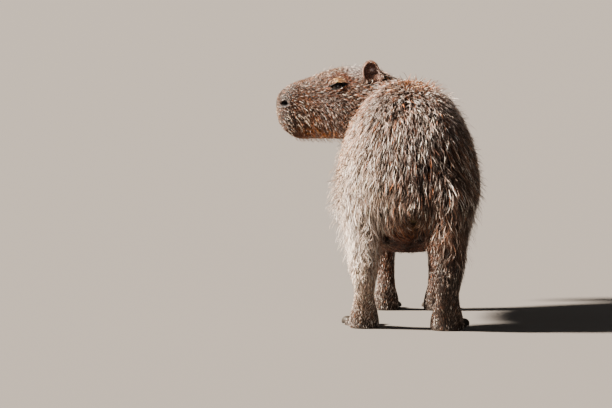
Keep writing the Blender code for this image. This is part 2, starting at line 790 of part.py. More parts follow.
def draw_locks(node, core, others, sizes, rng):
    """Rings of locks spread evenly over the long coat that a node carries."""
    length, width = sizes
    roots, drawn = [], []
    for root in random_places(node, rng, LOCK_TRIES):
        _, normal, _, gap = core.find_nearest(root)
        if gap > 1e-4 or lock_rise(np.array([root]))[0] < 0.006:
            continue
        if too_close(root, lie(root, normal), roots, sizes):
            continue
        vary = rng.uniform(0.9, 1.1)
        rings, spine = lock_form(core, root, length * vary, width * rng.uniform(0.9, 1.1), rng)
        if stays_on_node(spine, others) and rises_clear(rings, core):
            roots.append(root)
            drawn.append(rings)
    return drawn


def fused(node, drawn):
    """Fuses a node and its locks to one closed surface with a single union."""
    bundle = bpy.data.collections.new(node.name + " locks")
    for rings in drawn:
        lock = loft("lock", rings[:-1], tip=rings[-1][0])
        lock.modifiers.new("flat faces", "TRIANGULATE")
        bpy.context.scene.collection.objects.unlink(lock)
        bundle.objects.link(lock)
    node.modifiers.new("flat faces", "TRIANGULATE")
    union = node.modifiers.new("locks", "BOOLEAN")
    union.operation = "UNION"
    union.operand_type = "COLLECTION"
    union.solver = "MANIFOLD"
    union.collection = bundle
    bake_modifiers(node)
    for lock in list(bundle.objects):
        bpy.data.objects.remove(lock)
    bpy.data.collections.remove(bundle)
    return keep_largest(node)


def grow_locks(node, core, others, sizes, rng):
    """Gives a node its locks, drawn anew as long as the fused surface touches itself."""
    bare = node.data.copy()
    for _ in range(LOCK_DRAWS):
        node.data = bare.copy()
        fused(node, draw_locks(node, core, others, sizes, rng))
        if not touches_itself(node):
            break


def finish_node(obj, name, look):
    obj.name = name
    obj.data.name = name
    obj.data.materials.clear()
    obj.data.materials.append(material(look))
    return obj


def part_limbs(body):
    """Takes the four limbs out of the body and cuts each at its wrist or hock."""
    nodes = []
    for name, leg in LEGS.items():
        limb = keep_largest(boolean(copy_of(body, name), limb_outline(leg), "INTERSECT"))
        keep_largest(boolean(body, limb_outline(leg, GAP), "DIFFERENCE"))
        fore = leg["rings"] is FORE_LEG
        cut = FORE_FOOT_CUT_Z if fore else HIND_FOOT_CUT_Z
        middle = foot_middle(leg)
        low = slab("low", Vector((middle.x, middle.y, cut / 2)), Vector((1, 0, 0)), (0.2, 0.3, cut / 2))
        foot = keep_largest(boolean(copy_of(limb, name), low, "INTERSECT"))
        low = slab("low", Vector((middle.x, middle.y, (cut + GAP) / 2 - 0.1)), Vector((1, 0, 0)),
                   (0.2, 0.3, (cut + GAP) / 2 + 0.1))
        keep_largest(boolean(limb, low, "DIFFERENCE"))
        which = name.split("_")[1]
        kind = "fore" if fore else "hind"
        for number, toe in enumerate(toes_of(leg), 1):
            claw = claw_form(*toe)
            boolean(foot, grown(claw), "DIFFERENCE")
            nodes.append(finish_node(claw, f"{kind}claw_{which}_{number}", "claw"))
        nodes.append(finish_node(keep_largest(foot), f"{kind}foot_{which}", "foot"))
        nodes.append(finish_node(limb, name, "coat"))
    return nodes


def head_side(gap):
    """A block that holds the head, bounded by a plane behind the left ear and the jaw."""
    turn = math.radians(HEAD_CUT_HEADING)
    forward = Vector((math.sin(turn), -math.cos(turn), 0))
    across = UP.cross(forward)
    inner = HEAD_CUT_AT - forward * gap
    outer = inner - across * HEAD_CUT_REACH
    ahead = outer + forward * 2 * HEAD_CUT_REACH
    beyond = Vector((0.45, -0.30, HEAD_CUT_AT.z))
    rings = [[Vector((point.x, point.y, z)) for point in (inner, outer, ahead, beyond)]
             for z in (HEAD_CUT_AT.z - 0.17, HEAD_CUT_AT.z + 0.17)]
    return loft("head side", rings)


def part_head(body):
    """Takes the head off the body."""
    head = keep_largest(boolean(copy_of(body, "head"), head_side(0.0), "INTERSECT"))
    keep_largest(boolean(body, head_side(GAP), "DIFFERENCE"))
    return head


def part_neck(body):
    slope = math.radians(NECK_CUT_SLOPE)
    forward = Vector((0, -math.cos(slope), math.sin(slope)))
    ahead = slab("ahead", NECK_CUT_AT + forward * 0.3, forward, (0.3, 0.5, 0.5))
    neck = keep_largest(boolean(copy_of(body, "neck"), ahead, "INTERSECT"))
    ahead = slab("ahead", NECK_CUT_AT + forward * 0.3, forward, (0.3 + GAP, 0.5, 0.5))
    keep_largest(boolean(body, ahead, "DIFFERENCE"))
    return neck


def centre_on_floor(objects):
    """Puts the bottom centre of all the nodes at the origin."""
    places = np.array([vertex.co for obj in objects for vertex in obj.data.vertices])
    low, high = places.min(axis=0), places.max(axis=0)
    shift = Matrix.Translation((-(low[0] + high[0]) / 2, -(low[1] + high[1]) / 2, -low[2]))
    for obj in objects:
        obj.data.transform(shift)


def main():
    clear_scene()
    body = body_skin()
    core = tree_of([body])
    nodes = part_limbs(body)
    head = part_head(body)
    neck = part_neck(body)
    for which, side in SIDES.items():
        ear = ear_form(side)
        boolean(ear, grown(head), "DIFFERENCE")
        boolean(ear, grown(neck), "DIFFERENCE")
        nodes.append(finish_node(keep_largest(ear), f"ear_{which}", "ear"))
        eye = ellipsoid("eye", on_head(EYE, side), (EYE_RADIUS,) * 3, detail=2)
        nodes.append(finish_node(eye, f"eye_{which}", "eye"))
    nodes.append(finish_node(carve_face(head), "head", "coat"))
    nodes.append(finish_node(neck, "neck", "coat"))
    nodes.append(finish_node(body, "torso", "coat"))
    rng = np.random.default_rng(LOCK_SEED)
    trees = {}
    for name in LOCKS:
        trees[name] = tree_of([node for node in nodes if node.name != name])
    for node in nodes:
        if node.name in LOCKS:
            grow_locks(node, core, trees[node.name], LOCKS[node.name], rng)
    centre_on_floor(nodes)


main()
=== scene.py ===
"""The looks of a standing capybara with its head turned to its left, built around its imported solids.

One skin replaces every node of flesh. It lies in from the solids by the depth of the coat and carries the
coat as solid tufts of mesh, which follow the lie of the hair. Sizes are in metres. Places are in the
stations' own coordinates, where the animal faces -Y and its left is +X, until a piece is finished.
"""

import math

import bmesh
import bpy
import numpy as np
from mathutils import Matrix, Vector
from mathutils.bvhtree import BVHTree
from mathutils.kdtree import KDTree


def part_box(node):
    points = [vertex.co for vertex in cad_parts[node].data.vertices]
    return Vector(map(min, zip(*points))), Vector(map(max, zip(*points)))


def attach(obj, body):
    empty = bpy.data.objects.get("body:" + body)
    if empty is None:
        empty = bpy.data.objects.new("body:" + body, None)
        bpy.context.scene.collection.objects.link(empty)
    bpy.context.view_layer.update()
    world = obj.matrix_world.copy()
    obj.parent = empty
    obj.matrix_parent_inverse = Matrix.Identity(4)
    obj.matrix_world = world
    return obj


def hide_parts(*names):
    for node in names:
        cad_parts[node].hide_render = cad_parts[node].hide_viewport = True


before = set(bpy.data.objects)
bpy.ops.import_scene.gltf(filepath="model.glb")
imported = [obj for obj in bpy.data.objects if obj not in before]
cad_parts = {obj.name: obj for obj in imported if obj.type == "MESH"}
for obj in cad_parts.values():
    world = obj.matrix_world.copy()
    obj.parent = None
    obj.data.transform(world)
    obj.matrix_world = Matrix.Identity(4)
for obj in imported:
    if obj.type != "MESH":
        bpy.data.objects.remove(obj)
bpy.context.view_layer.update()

UP = Vector((0, 0, 1))
SIDES = {"left": 1, "right": -1}

# The body's stations, as the solids have them, with finer rings and steps
BACK_HEIGHT = 0.572
HEAD_PLANE_Y = -0.420
RING_SIDES = 48
STEPS_BETWEEN_STATIONS = 7
# Torso rings along Y: station, belly height, back height, height of the widest level, half width,
# squareness
TORSO = [
    (0.402, 0.325, 0.400, 0.360, 0.040, 2.0),
    (0.388, 0.285, 0.452, 0.350, 0.090, 2.0),
    (0.355, 0.245, 0.508, 0.342, 0.128, 2.0),
    (0.290, 0.215, 0.548, 0.332, 0.152, 2.0),
    (0.190, 0.190, 0.567, 0.322, 0.163, 2.0),
    (0.070, 0.166, BACK_HEIGHT, 0.315, 0.167, 2.0),
    (-0.050, 0.160, 0.567, 0.315, 0.165, 2.0),
    (-0.150, 0.170, 0.556, 0.325, 0.158, 2.0),
    (-0.230, 0.188, 0.547, 0.345, 0.146, 2.0),
    (-0.300, 0.225, 0.535, 0.370, 0.122, 2.0),
    (-0.350, 0.275, 0.505, 0.385, 0.085, 2.0),
]
# Neck rings along a bend in plan: x, y, heading in degrees from -Y to +X, low, high, half width, squareness
NECK = [
    (-0.008, -0.190, 0, 0.215, 0.545, 0.130, 2.1),
    (-0.006, -0.270, 6, 0.245, 0.546, 0.122, 2.1),
    (0.003, -0.338, 28, 0.285, 0.551, 0.096, 2.1),
    (0.030, -0.388, 54, 0.330, 0.565, 0.078, 2.1),
    (0.074, -0.414, 78, 0.378, 0.576, 0.064, 2.2),
    (0.125, HEAD_PLANE_Y, 90, 0.407, 0.581, 0.058, 2.4),
]
# Where the neck bends about in plan, and the flesh on the inner side of the bend
NECK_BEND = Vector((0.090, -0.300, 0))
THROAT = Vector((0.040, -0.322, 0.375))
THROAT_RADII = (0.040, 0.045, 0.080)
# The nape's rise to the ears
NAPE = Vector((0.062, -0.398, 0.550))
NAPE_RADII = (0.040, 0.038, 0.034)
# Head rings along X: station, jaw height, crown height, height of the widest level, half width, crown width
# as a share of it, squareness
HEAD = [
    (0.048, 0.396, 0.570, 0.473, 0.058, 1.00, 2.2),
    (0.092, 0.402, 0.580, 0.475, 0.063, 0.92, 2.3),
    (0.126, 0.405, 0.583, 0.476, 0.063, 0.86, 2.4),
    (0.160, 0.406, 0.580, 0.474, 0.060, 0.84, 2.6),
    (0.195, 0.406, 0.571, 0.469, 0.053, 0.86, 2.7),
    (0.230, 0.406, 0.557, 0.470, 0.047, 0.90, 2.8),
    (0.259, 0.407, 0.547, 0.476, 0.044, 0.94, 2.8),
    (0.281, 0.416, 0.538, 0.481, 0.042, 0.95, 2.7),
    (0.296, 0.431, 0.527, 0.483, 0.037, 0.95, 2.5),
    (0.307, 0.449, 0.516, 0.485, 0.028, 0.95, 2.3),
    (0.3135, 0.470, 0.502, 0.487, 0.014, 0.95, 2.1),
]
# Leg rings going down: height, x out from the leg's own line, y from its own line, half width, half depth
HIND_LEG = [
    (0.400, -0.022, -0.052, 0.050, 0.125),
    (0.340, -0.006, -0.048, 0.062, 0.145),
    (0.290, 0.000, -0.040, 0.059, 0.140),
    (0.245, 0.001, -0.030, 0.050, 0.118),
    (0.205, 0.000, -0.018, 0.042, 0.092),
    (0.170, 0.000, -0.004, 0.036, 0.066),
    (0.140, 0.000, 0.008, 0.031, 0.048),
    (0.112, 0.000, 0.012, 0.027, 0.039),
    (0.085, 0.000, 0.000, 0.025, 0.035),
    (0.058, 0.000, -0.022, 0.027, 0.036),
    (0.034, 0.000, -0.046, 0.033, 0.044),
    (0.012, 0.000, -0.056, 0.036, 0.046),
    (-0.004, 0.000, -0.056, 0.034, 0.044),
]
FORE_LEG = [
    (0.400, 0.030, 0.055, 0.045, 0.080),
    (0.330, 0.040, 0.050, 0.050, 0.088),
    (0.270, 0.032, 0.042, 0.044, 0.076),
    (0.220, 0.019, 0.026, 0.034, 0.055),
    (0.175, 0.008, 0.010, 0.027, 0.039),
    (0.130, 0.002, 0.002, 0.0235, 0.030),
    (0.090, 0.000, 0.000, 0.0215, 0.026),
    (0.058, 0.000, -0.004, 0.0225, 0.027),
    (0.034, 0.000, -0.018, 0.029, 0.034),
    (0.012, 0.000, -0.026, 0.032, 0.037),
    (-0.004, 0.000, -0.026, 0.030, 0.035),
]
# Where each leg's own line stands on the floor, how far out its foot turns, and its girth
LEGS = {
    "hindleg_left": {"rings": HIND_LEG, "side": 1, "x": 0.105, "y": 0.255, "toe_out": 6, "girth": 0.98},
    "hindleg_right": {"rings": HIND_LEG, "side": -1, "x": 0.087, "y": 0.315, "toe_out": 8, "girth": 1.10},
    "foreleg_left": {"rings": FORE_LEG, "side": 1, "x": 0.047, "y": -0.248, "toe_out": 4, "girth": 1.0},
    "foreleg_right": {"rings": FORE_LEG, "side": -1, "x": 0.075, "y": -0.240, "toe_out": 8, "girth": 1.0},
}
# Toes: splay in degrees, length from the foot's middle
FORE_TOES = [(-34, 0.054), (-11, 0.066), (11, 0.066), (34, 0.054)]
HIND_TOES = [(-23, 0.080), (0, 0.092), (23, 0.080)]
FORE_TOE_RADIUS = 0.0100
HIND_TOE_RADIUS = 0.0130
TOE_RING_SHARES = [(0.0, 1.15), (0.45, 1.05), (0.8, 1.0), (1.0, 0.80)]
CLAW_SHARES = [
    (-0.9, 0.72, 0.60),
    (-0.3, 0.86, 0.74),
    (0.2, 0.86, 0.72),
    (0.6, 0.70, 0.56),
    (0.9, 0.46, 0.36),
    (1.0, 0.30, 0.22),
]
CLAW_LENGTH = 0.018
CLAW_FLOOR_RISE = 0.0015
SOLE_SINK = 0.006

# The face: places are given out from the head's plane
EYE_RADIUS = 0.0145
EYE = Vector((0.1640, 0.0385, 0.5365))
EYE_OPENING = (0.0212, 0.0062)
EYE_TILT = 12
EYE_DROP = 0.0026
LID_THICKNESS = 0.0040
NOSTRIL = Vector((0.2930, 0.0315, 0.4935))
NOSTRIL_SIZE = Vector((0.0100, 0.0075, 0.0055))
MOUTH_AXIS = Vector((0.239, 0.0, 0.4330))
MOUTH_FRONT_RISE = 0.006
MOUTH_REACH = 100
MOUTH_POINTS = 19
LIP_RADIUS = 0.0065
LIP_SPACING = 0.0060
EAR_ROOT = Vector((0.0760, 0.0395, 0.5390))
EAR_UP = Vector((0.22, 0.03, 1.00))
EAR_FACING = Vector((-0.12, 1.00, -0.10))
EAR_LENGTH = 0.056
EAR_WIDTH = 0.042
EAR_WIDEST = 0.45
EAR_ROUNDNESS = 2.8
EAR_TIP_SHARE = 0.03
EAR_THICKNESS = 0.0034
EAR_CUP_DEPTH = 0.011

# The skin's mesh: its voxels, and how often the outline, the neck's bend and the sunk skin are smoothed
VOXEL = 0.004
OUTLINE_PASSES = 36
BEND_PASSES = 120
SKIN_PASSES = 6
LAST_PASSES = 3

# The coat's depth on the trunk, the lower legs, the cheek, the nose and the ears
TRUNK_DEPTH = 0.022
LEG_DEPTH = 0.003
CHEEK_DEPTH = 0.005
NOSE_DEPTH = 0.001
EAR_DEPTH = 0.0012

# The coat's colours by name, for skin and tufts alike, with painted light and shade among them as marked
COAT_COLOURS = {
    "ground": "#5f4332",
    "back": "#2a2021",
    # pale flank colour: partly the flanks' own paleness, partly painted light on the lit left side
    "flank": "#b8977a",
    "ginger": "#a3642f",
    # pale forehead colour, partly painted light where the key falls from above
    "forehead": "#fbf4f8",
    "crown": "#b08a70",
    "cheek": "#472c1f",
    "speckle": "#6e4528",
    "muzzle": "#100c0b",
    "nose": "#17181b",
    "jaw": "#d9822f",
    "belly": "#4f220c",
    "thigh": "#7d5339",
    # painted shade: dark brown for the right flank and right hind leg, which face away from the key
    "shaded right side": "#281d16",
    # painted light: the pale left thigh, lit by the key
    "lit left thigh": "#fff0e0",
    "inner thigh": "#80421a",
    "rump": "#4b3a1c",
    "foot": "#332a23",
    # painted light: a pale patch on the nape, paling it in the shadow the ear casts there
    "nape": "#efe2dc",
    "ear": "#6b4a3c",
    "ear base": "#160e0c",
    "under eye": "#43210f",
    # painted highlight: the pale rim along the muzzle's front, lit by the key
    "painted muzzle highlight": "#b8a284",
    # pale golden upper lid, partly a painted highlight from the key above
    "lid": "#e0ad7c",
    # rufous brow, partly painted shade in the crease above the lid
    "brow": "#6b3210",
    "lower lid": "#6f3a16",
    # painted shade: the dark line in the fold under the lower lid
    "fold": "#1c100a",
}
# Markings: the colour's name, its place, its radii and its strength. On the head Y is given out from
# the head's plane. Later ones lie over earlier ones.
HEAD_MARKINGS = [
    ("cheek", (0.17, 0.05, 0.48), (0.10, 0.06, 0.07), 0.95),
    ("crown", (0.20, 0.00, 0.57), (0.07, 0.06, 0.03), 0.8),
    # a pale forehead patch, partly painted light from the key above
    ("forehead", (0.130, 0.02, 0.578), (0.024, 0.05, 0.022), 0.95),
    ("speckle", (0.245, 0.05, 0.500), (0.030, 0.04, 0.022), 0.8),
    ("muzzle", (0.285, 0.03, 0.450), (0.035, 0.05, 0.034), 0.85),
    ("nose", (0.290, 0.02, 0.505), (0.022, 0.04, 0.028), 0.95),
    ("jaw", (0.203, 0.03, 0.414), (0.048, 0.06, 0.022), 0.95),
    # painted highlight: a pale rim along the muzzle's front
    ("painted muzzle highlight", (0.314, 0.00, 0.455), (0.009, 0.03, 0.040), 0.4),
    ("under eye", (0.164, 0.05, 0.517), (0.022, 0.04, 0.012), 0.7),
    ("ear base", (0.100, 0.045, 0.540), (0.013, 0.03, 0.015), 0.85),
]
TRUNK_MARKINGS = [
    ("back", (0.0, 0.10, 0.56), (0.12, 0.40, 0.10), 0.9),
    ("back", (-0.03, 0.38, 0.40), (0.09, 0.12, 0.13), 0.8),
    # painted shade on the right flank
    ("shaded right side", (-0.15, 0.32, 0.28), (0.09, 0.16, 0.26), 0.9),
    # pale flanks, full on the left and weak on the right: partly painted light on the lit left side
    ("flank", (0.17, 0.10, 0.36), (0.08, 0.40, 0.16), 0.9),
    ("flank", (-0.17, 0.00, 0.36), (0.07, 0.24, 0.16), 0.3),
    # painted light: the left thigh made pale where the key lights it
    ("flank", (0.135, 0.30, 0.17), (0.05, 0.14, 0.13), 0.95),
    ("lit left thigh", (0.125, 0.33, 0.23), (0.060, 0.14, 0.14), 1.0),
    ("belly", (0.0, 0.05, 0.15), (0.12, 0.36, 0.07), 0.95),
    ("belly", (0.0, 0.28, 0.20), (0.085, 0.14, 0.055), 1.0),
    ("thigh", (0.0, 0.36, 0.25), (0.10, 0.08, 0.05), 0.6),
    # the belly's dark colour carried up between the thighs, partly painted shade there
    ("belly", (0.0, 0.35, 0.228), (0.060, 0.08, 0.030), 0.9),
    ("rump", (-0.011, 0.39, 0.255), (0.034, 0.06, 0.030), 0.9),
    ("inner thigh", (0.048, 0.33, 0.225), (0.024, 0.07, 0.050), 0.8),
    ("inner thigh", (-0.045, 0.36, 0.225), (0.025, 0.07, 0.050), 0.25),
    # painted shade on the right hind leg
    ("shaded right side", (-0.095, 0.34, 0.14), (0.070, 0.12, 0.14), 0.95),
    ("ginger", (0.00, -0.10, 0.564), (0.13, 0.28, 0.028), 0.72),
    ("ginger", (0.095, -0.09, 0.515), (0.045, 0.22, 0.040), 0.62),
    ("ginger", (0.135, -0.08, 0.450), (0.028, 0.20, 0.060), 0.58),
    # painted light on the nape, in the ear's shadow
    ("nape", (0.050, -0.400, 0.565), (0.028, 0.035, 0.028), 0.75),
    ("foot", (0.0, 0.0, 0.0), (1.0, 1.0, 0.06), 0.9),
]

# Bare skin colours by place, with painted light and shade among them as marked
HIDE_COLOURS = {
    "nose": "#100f11",
    # painted shade: near black in the nostrils' hollows
    "nostril": "#070606",
    # painted highlight: a paler rim under each nostril
    "painted nostril highlight": "#34373c",
    # dark lids' rims, and painted shade in the sunk pocket at the slit's corners
    "lid": "#080605",
    "rump": "#4a4126",
    "sole": "#2e2823",
    "cup": "#2a1718",
    "concha": "#6e5048",
    # painted highlight: a pale gleam in the ear's hollow
    "gleam": "#cfc6d0",
    "rim": "#957b70",
}

# The coat's tufts: the seed of their random draws, the size of each one's patch on the unwrap, how thick
# they are for their width, how far their roots sink into the skin and how high they stay above the floor
COAT_SEED = 11
COAT_PIECES = 11
PATCH = 0.003
TUFT_THICKNESS = 0.42
ROOT_SINK = 0.0015
FLOOR_CLEARANCE = 0.0012
# How far apart the middles of clumps stand in long and in short hair
LONG_CLUMPS = 0.0080
SHORT_CLUMPS = 0.0030
# Where a tuft's rings stand along it and how wide they are, for long and for short hair
LONG_RINGS = ((0.0, 0.70), (0.34, 1.00), (0.70, 0.66))
SHORT_RINGS = ((0.0, 0.85), (0.50, 0.90))
# The layers of the coat. Cells are how far apart the roots stand where the coat is deep, middling, on the
# face and on the legs. Rise is the share of the coat's depth that the tips reach.
LAYERS = [
    # painted shade: the low under layer is darkened to a quarter, for the shade deep in the coat
    {"rings": SHORT_RINGS, "cells": (0.0090, 0.0072, 0.0, 0.0), "rise": 0.50, "reach": 1.2,
     "width": 0.0044, "shade": 0.24},
    {"rings": LONG_RINGS, "cells": (0.0047, 0.0041, 0.0, 0.0), "rise": 1.05, "reach": 2.3,
     "width": 0.0018, "shade": 1.0},
    {"rings": SHORT_RINGS, "cells": (0.0, 0.0, 0.0022, 0.0034), "rise": 1.15, "reach": 2.1,
     "width": 0.0021, "shade": 1.0},
]
# The coat's depth from which it counts as deep and as middling
DEEP_COAT = 0.015
MIDDLING_COAT = 0.0075
# Hairs of other colours among the coat's own: colour, share on the trunk, share on the face
AGOUTI = [("#120b08", 0.33, 0.36), ("#7a4826", 0.06, 0.16), ("#f4e3d6", 0.15, 0.12)]
AGOUTI_STRENGTH = 0.90

# The unrolled sheet: its margin, the trunk's band above and the legs' band below, with one field per leg
SHEET_MARGIN = 0.02
TRUNK_BAND = 0.45
TRUNK_BAND_HEIGHT = 0.53
LEG_BAND_HEIGHT = 0.40
LEG_FIELD = 0.245
LEG_FIELD_WIDTH = 0.22
# The part of a leg that lies on its own field: height, and reach across and along from its middle
LEG_TOP = 0.215
LEG_REACH_X = 0.055
LEG_REACH_Y = 0.13
LEG_MIDDLE_Y = 0.01

# Whiskers, and the eyeball's clear front, which stands out within an angle in degrees from its middle
WHISKER_SEED = 5
WHISKERS_PER_SIDE = 11
WHISKER_RADIUS = 0.00030
WHISKER_STEPS = 7
WHISKER_DROOP = 0.16
CORNEA_RISE = 0.045
IRIS_EDGE = 60

# Real widths of the patterns of the finishes, in millimetres
HIDE_WRINKLE = 1.6
BRISTLE_TONE = 17
HORN_MOTTLE = 4.2

# The stage: half the floor's width, the lamps' direction, strength, spread in degrees and colour, and the
# light from all round
FLOOR_REACH = 80.0
LAMPS = {
    "key": ((0.82, 0.14, 0.52), 46.0, 8, "#fff0de"),
    "fill": ((-0.12, 0.95, 0.30), 0.75, 10, "#f6efe8"),
}
SURROUND_COLOUR = "#e6e1dc"
SURROUND_STRENGTH = 0.15

# The photograph's camera, in its frame of 612 by 408 pixels
IMAGE_WIDTH = 612
IMAGE_HEIGHT = 408
SENSOR_WIDTH = 36.0
CAMERA_DISTANCE = 13.0
CAMERA_ELEVATION = 4.0
PIXELS_PER_METRE = 424.0
BODY_MIDLINE_PIXEL = 408.0
HIND_LEG_MARK = Vector((0, 0.285, 0.095))
HIND_LEG_MARK_PIXEL = 288.5
AIM_Y = 0.05


# Small helpers for numbers and colours


def linear(hex_colour):
    """The linear colour of an sRGB hex value, opaque."""
    values = [int(hex_colour[i:i + 2], 16) / 255 for i in (1, 3, 5)]
    made = [v / 12.92 if v <= 0.04045 else ((v + 0.055) / 1.055) ** 2.4 for v in values]
    return (*made, 1.0)


def eased(values, start, end):
    """0 at the start, 1 at the end, with a soft change between."""
    share = np.clip((values - start) / (end - start), 0.0, 1.0)
    return share * share * (3 - 2 * share)


def near(points, centre, radii):
    """1 at the centre, falling softly to nothing past the radii."""
    return np.exp(-(((points - np.array(centre)) / np.array(radii)) ** 2).sum(axis=1))


def unit(vectors):
    """The vectors, each at length 1."""
    return vectors / np.maximum(np.linalg.norm(vectors, axis=1), 1e-9)[:, None]


def through_stations(rows, steps=STEPS_BETWEEN_STATIONS):
    """Rows read from a smooth curve through the station rows."""
    rows = np.array(rows, float)
    padded = np.vstack([2 * rows[0] - rows[1], rows, 2 * rows[-1] - rows[-2]])
    shares = np.arange(steps)[:, None] / steps
    made = []
    for before, start, end, after in zip(padded, padded[1:], padded[2:], padded[3:]):
        made.append(
            0.5 * (2 * start + (end - before) * shares
                   + (2 * before - 5 * start + 4 * end - after) * shares**2
                   + (3 * start - before - 3 * end + after) * shares**3)
        )
    return np.vstack([*made, rows[-1:]])


# Meshes


def object_from(name, mesh):
    """A new object of the mesh, in the scene."""
    obj = bpy.data.objects.new(name, mesh)
    bpy.context.scene.collection.objects.link(obj)
    return obj


def mesh_from_bmesh(name, bm):
    """A mesh of the drawn faces, all facing out."""
    bmesh.ops.recalc_face_normals(bm, faces=bm.faces)
    mesh = bpy.data.meshes.new(name)
    bm.to_mesh(mesh)
    bm.free()
    return mesh


def ring(centre, side, up, half_width, reach_up, reach_down, squareness, crown=1.0, sides=RING_SIDES):
    """Points round a section. Its half width shrinks to crown times that at the top."""
    points = []
    for angle in np.linspace(0, 2 * math.pi, sides, endpoint=False):
        across = math.copysign(abs(math.cos(angle)) ** (2 / squareness), math.cos(angle))
        rise = math.copysign(abs(math.sin(angle)) ** (2 / squareness), math.sin(angle))
        width = half_width * (1 + (crown - 1) * max(rise, 0))
        reach = reach_up if rise > 0 else reach_down
        points.append(centre + side * (width * across) + up * (reach * rise))
    return points


def loft(name, rings):
    """One closed body through the rings, with a flat face on each end."""
    bm = bmesh.new()
    loops = [[bm.verts.new(point) for point in points] for points in rings]
    count = len(loops[0])
    for first, second in zip(loops, loops[1:]):
        for i in range(count):
            bm.faces.new((first[i], first[(i + 1) % count], second[(i + 1) % count], second[i]))
    bm.faces.new(loops[0])
    bm.faces.new(loops[-1])
    return object_from(name, mesh_from_bmesh(name, bm))


def tube(name, points, radii, sides=8):
    """A round tube through the points, each ring square to the path."""
    rings = []
    for i, (point, radius) in enumerate(zip(points, radii)):
        along = (points[min(i + 1, len(points) - 1)] - points[max(i - 1, 0)]).normalized()
        side = along.cross(UP if abs(along.z) < 0.9 else Vector((1, 0, 0))).normalized()
        rings.append(ring(point, side, side.cross(along), radius, radius, radius, 2.0, sides=sides))
    return loft(name, rings)


def ellipsoid(name, centre, radii):
    """A round swelling."""
    bm = bmesh.new()
    bmesh.ops.create_icosphere(bm, subdivisions=3, radius=1.0)
    bmesh.ops.scale(bm, vec=radii, verts=bm.verts)
    bmesh.ops.translate(bm, vec=centre, verts=bm.verts)
    return object_from(name, mesh_from_bmesh(name, bm))


def bake_modifiers(obj):
    """Makes what the modifiers give the object's own mesh."""
    graph = bpy.context.evaluated_depsgraph_get()
    obj.data = bpy.data.meshes.new_from_object(obj.evaluated_get(graph))
    obj.modifiers.clear()
    return obj


def join(name, objects):
    """One object that holds the meshes of all of these, still overlapping."""
    bm = bmesh.new()
    for obj in objects:
        bm.from_mesh(obj.data)
        bpy.data.objects.remove(obj)
    mesh = bpy.data.meshes.new(name)
    bm.to_mesh(mesh)
    bm.free()
    return object_from(name, mesh)


def places_of(mesh):
    """The places of the mesh's vertices, one row each."""
    flat = np.empty(len(mesh.vertices) * 3, np.float32)
    mesh.vertices.foreach_get("co", flat)
    return flat.reshape(-1, 3).astype(float)


def normals_of(mesh):
    """The normals of the mesh's vertices, one row each."""
    flat = np.empty(len(mesh.vertices) * 3, np.float32)
    mesh.vertex_normals.foreach_get("vector", flat)
    return flat.reshape(-1, 3).astype(float)


def set_places(mesh, places):
    mesh.vertices.foreach_set("co", places.astype(np.float32).ravel())
    mesh.update()


def store(mesh, name, values):
    """Keeps one value per vertex on the mesh, for its material to read."""
    layer = mesh.attributes.new(name, "FLOAT", "POINT")
    layer.data.foreach_set("value", values.astype(np.float32).ravel())


def store_colour(mesh, name, colours):
    """Keeps one opaque colour per vertex on the mesh, for its material to read."""
    layer = mesh.attributes.new(name, "FLOAT_COLOR", "POINT")
    opaque = np.column_stack([colours, np.ones(len(colours))])
    layer.data.foreach_set("color", opaque.astype(np.float32).ravel())


# Forms of the body, which the skin is drawn over


def torso_form():
    """The trunk in its coat, from rump to chest."""
    rings = []
    for y, low, high, wide, half_width, squareness in through_stations(TORSO):
        centre = Vector((0, y, wide))
        rings.append(ring(centre, Vector((1, 0, 0)), UP, half_width, high - wide, wide - low, squareness))
    return loft("torso form", rings)


def neck_form():
    """The neck in its coat, turning to the animal's left."""
    rings = []
    for x, y, heading, low, high, half_width, squareness in through_stations(NECK):
        turn = math.radians(heading)
        side = Vector((math.cos(turn), math.sin(turn), 0))
        centre = Vector((x, y, (low + high) / 2))
        reach = (high - low) / 2
        rings.append(ring(centre, side, UP, half_width, reach, reach, squareness))
    return loft("neck form", rings)


def head_form():
    """The head in its coat, from nape to nose."""
    rings = []
    for x, low, high, wide, half_width, crown, squareness in through_stations(HEAD):
        centre = Vector((x, HEAD_PLANE_Y, wide))
        rings.append(ring(centre, Vector((0, 1, 0)), UP,
                          half_width, high - wide, wide - low, squareness, crown))
    return loft("head form", rings)


def on_head(place, side):
    """The world place of a face feature that is given out from the head's plane."""
    return Vector((place.x, HEAD_PLANE_Y + side * place.y, place.z))


def mouth_path(tree, drop, sink):
    """Points along the mouth from one corner round the front to the other, on the head's surface."""
    points = []
    for turn in np.linspace(-MOUTH_REACH, MOUTH_REACH, MOUTH_POINTS):
        heading = Vector((math.cos(math.radians(turn)), math.sin(math.radians(turn)), 0))
        rise = MOUTH_FRONT_RISE * (1 - abs(turn) / MOUTH_REACH)
        start = on_head(MOUTH_AXIS, 1) + UP * (rise + drop)
        hit = tree.ray_cast(start, heading)[0]
        points.append(hit - heading * sink)
    return points


def face_forms(tree):
    """Swellings of lids, nostril wings and lips, which the skin blends into the head."""
    shares = [max(0.25, 1 - abs(share) ** 4) for share in np.linspace(-1, 1, MOUTH_POINTS)]
    forms = []
    for drop in (LIP_SPACING, -LIP_SPACING):
        path = mouth_path(tree, drop, LIP_RADIUS * 0.55)
        forms.append(tube("lip", path, [LIP_RADIUS * share for share in shares]))
    lid = EYE_RADIUS + LID_THICKNESS
    wing = NOSTRIL_SIZE + Vector((0.004, 0.002, 0.005))
    for side in SIDES.values():
        forms.append(ellipsoid("lids", on_head(EYE, side), (lid * 1.15, lid, lid)))
        forms.append(ellipsoid("nostril wing", on_head(NOSTRIL, side), wing))
    return forms


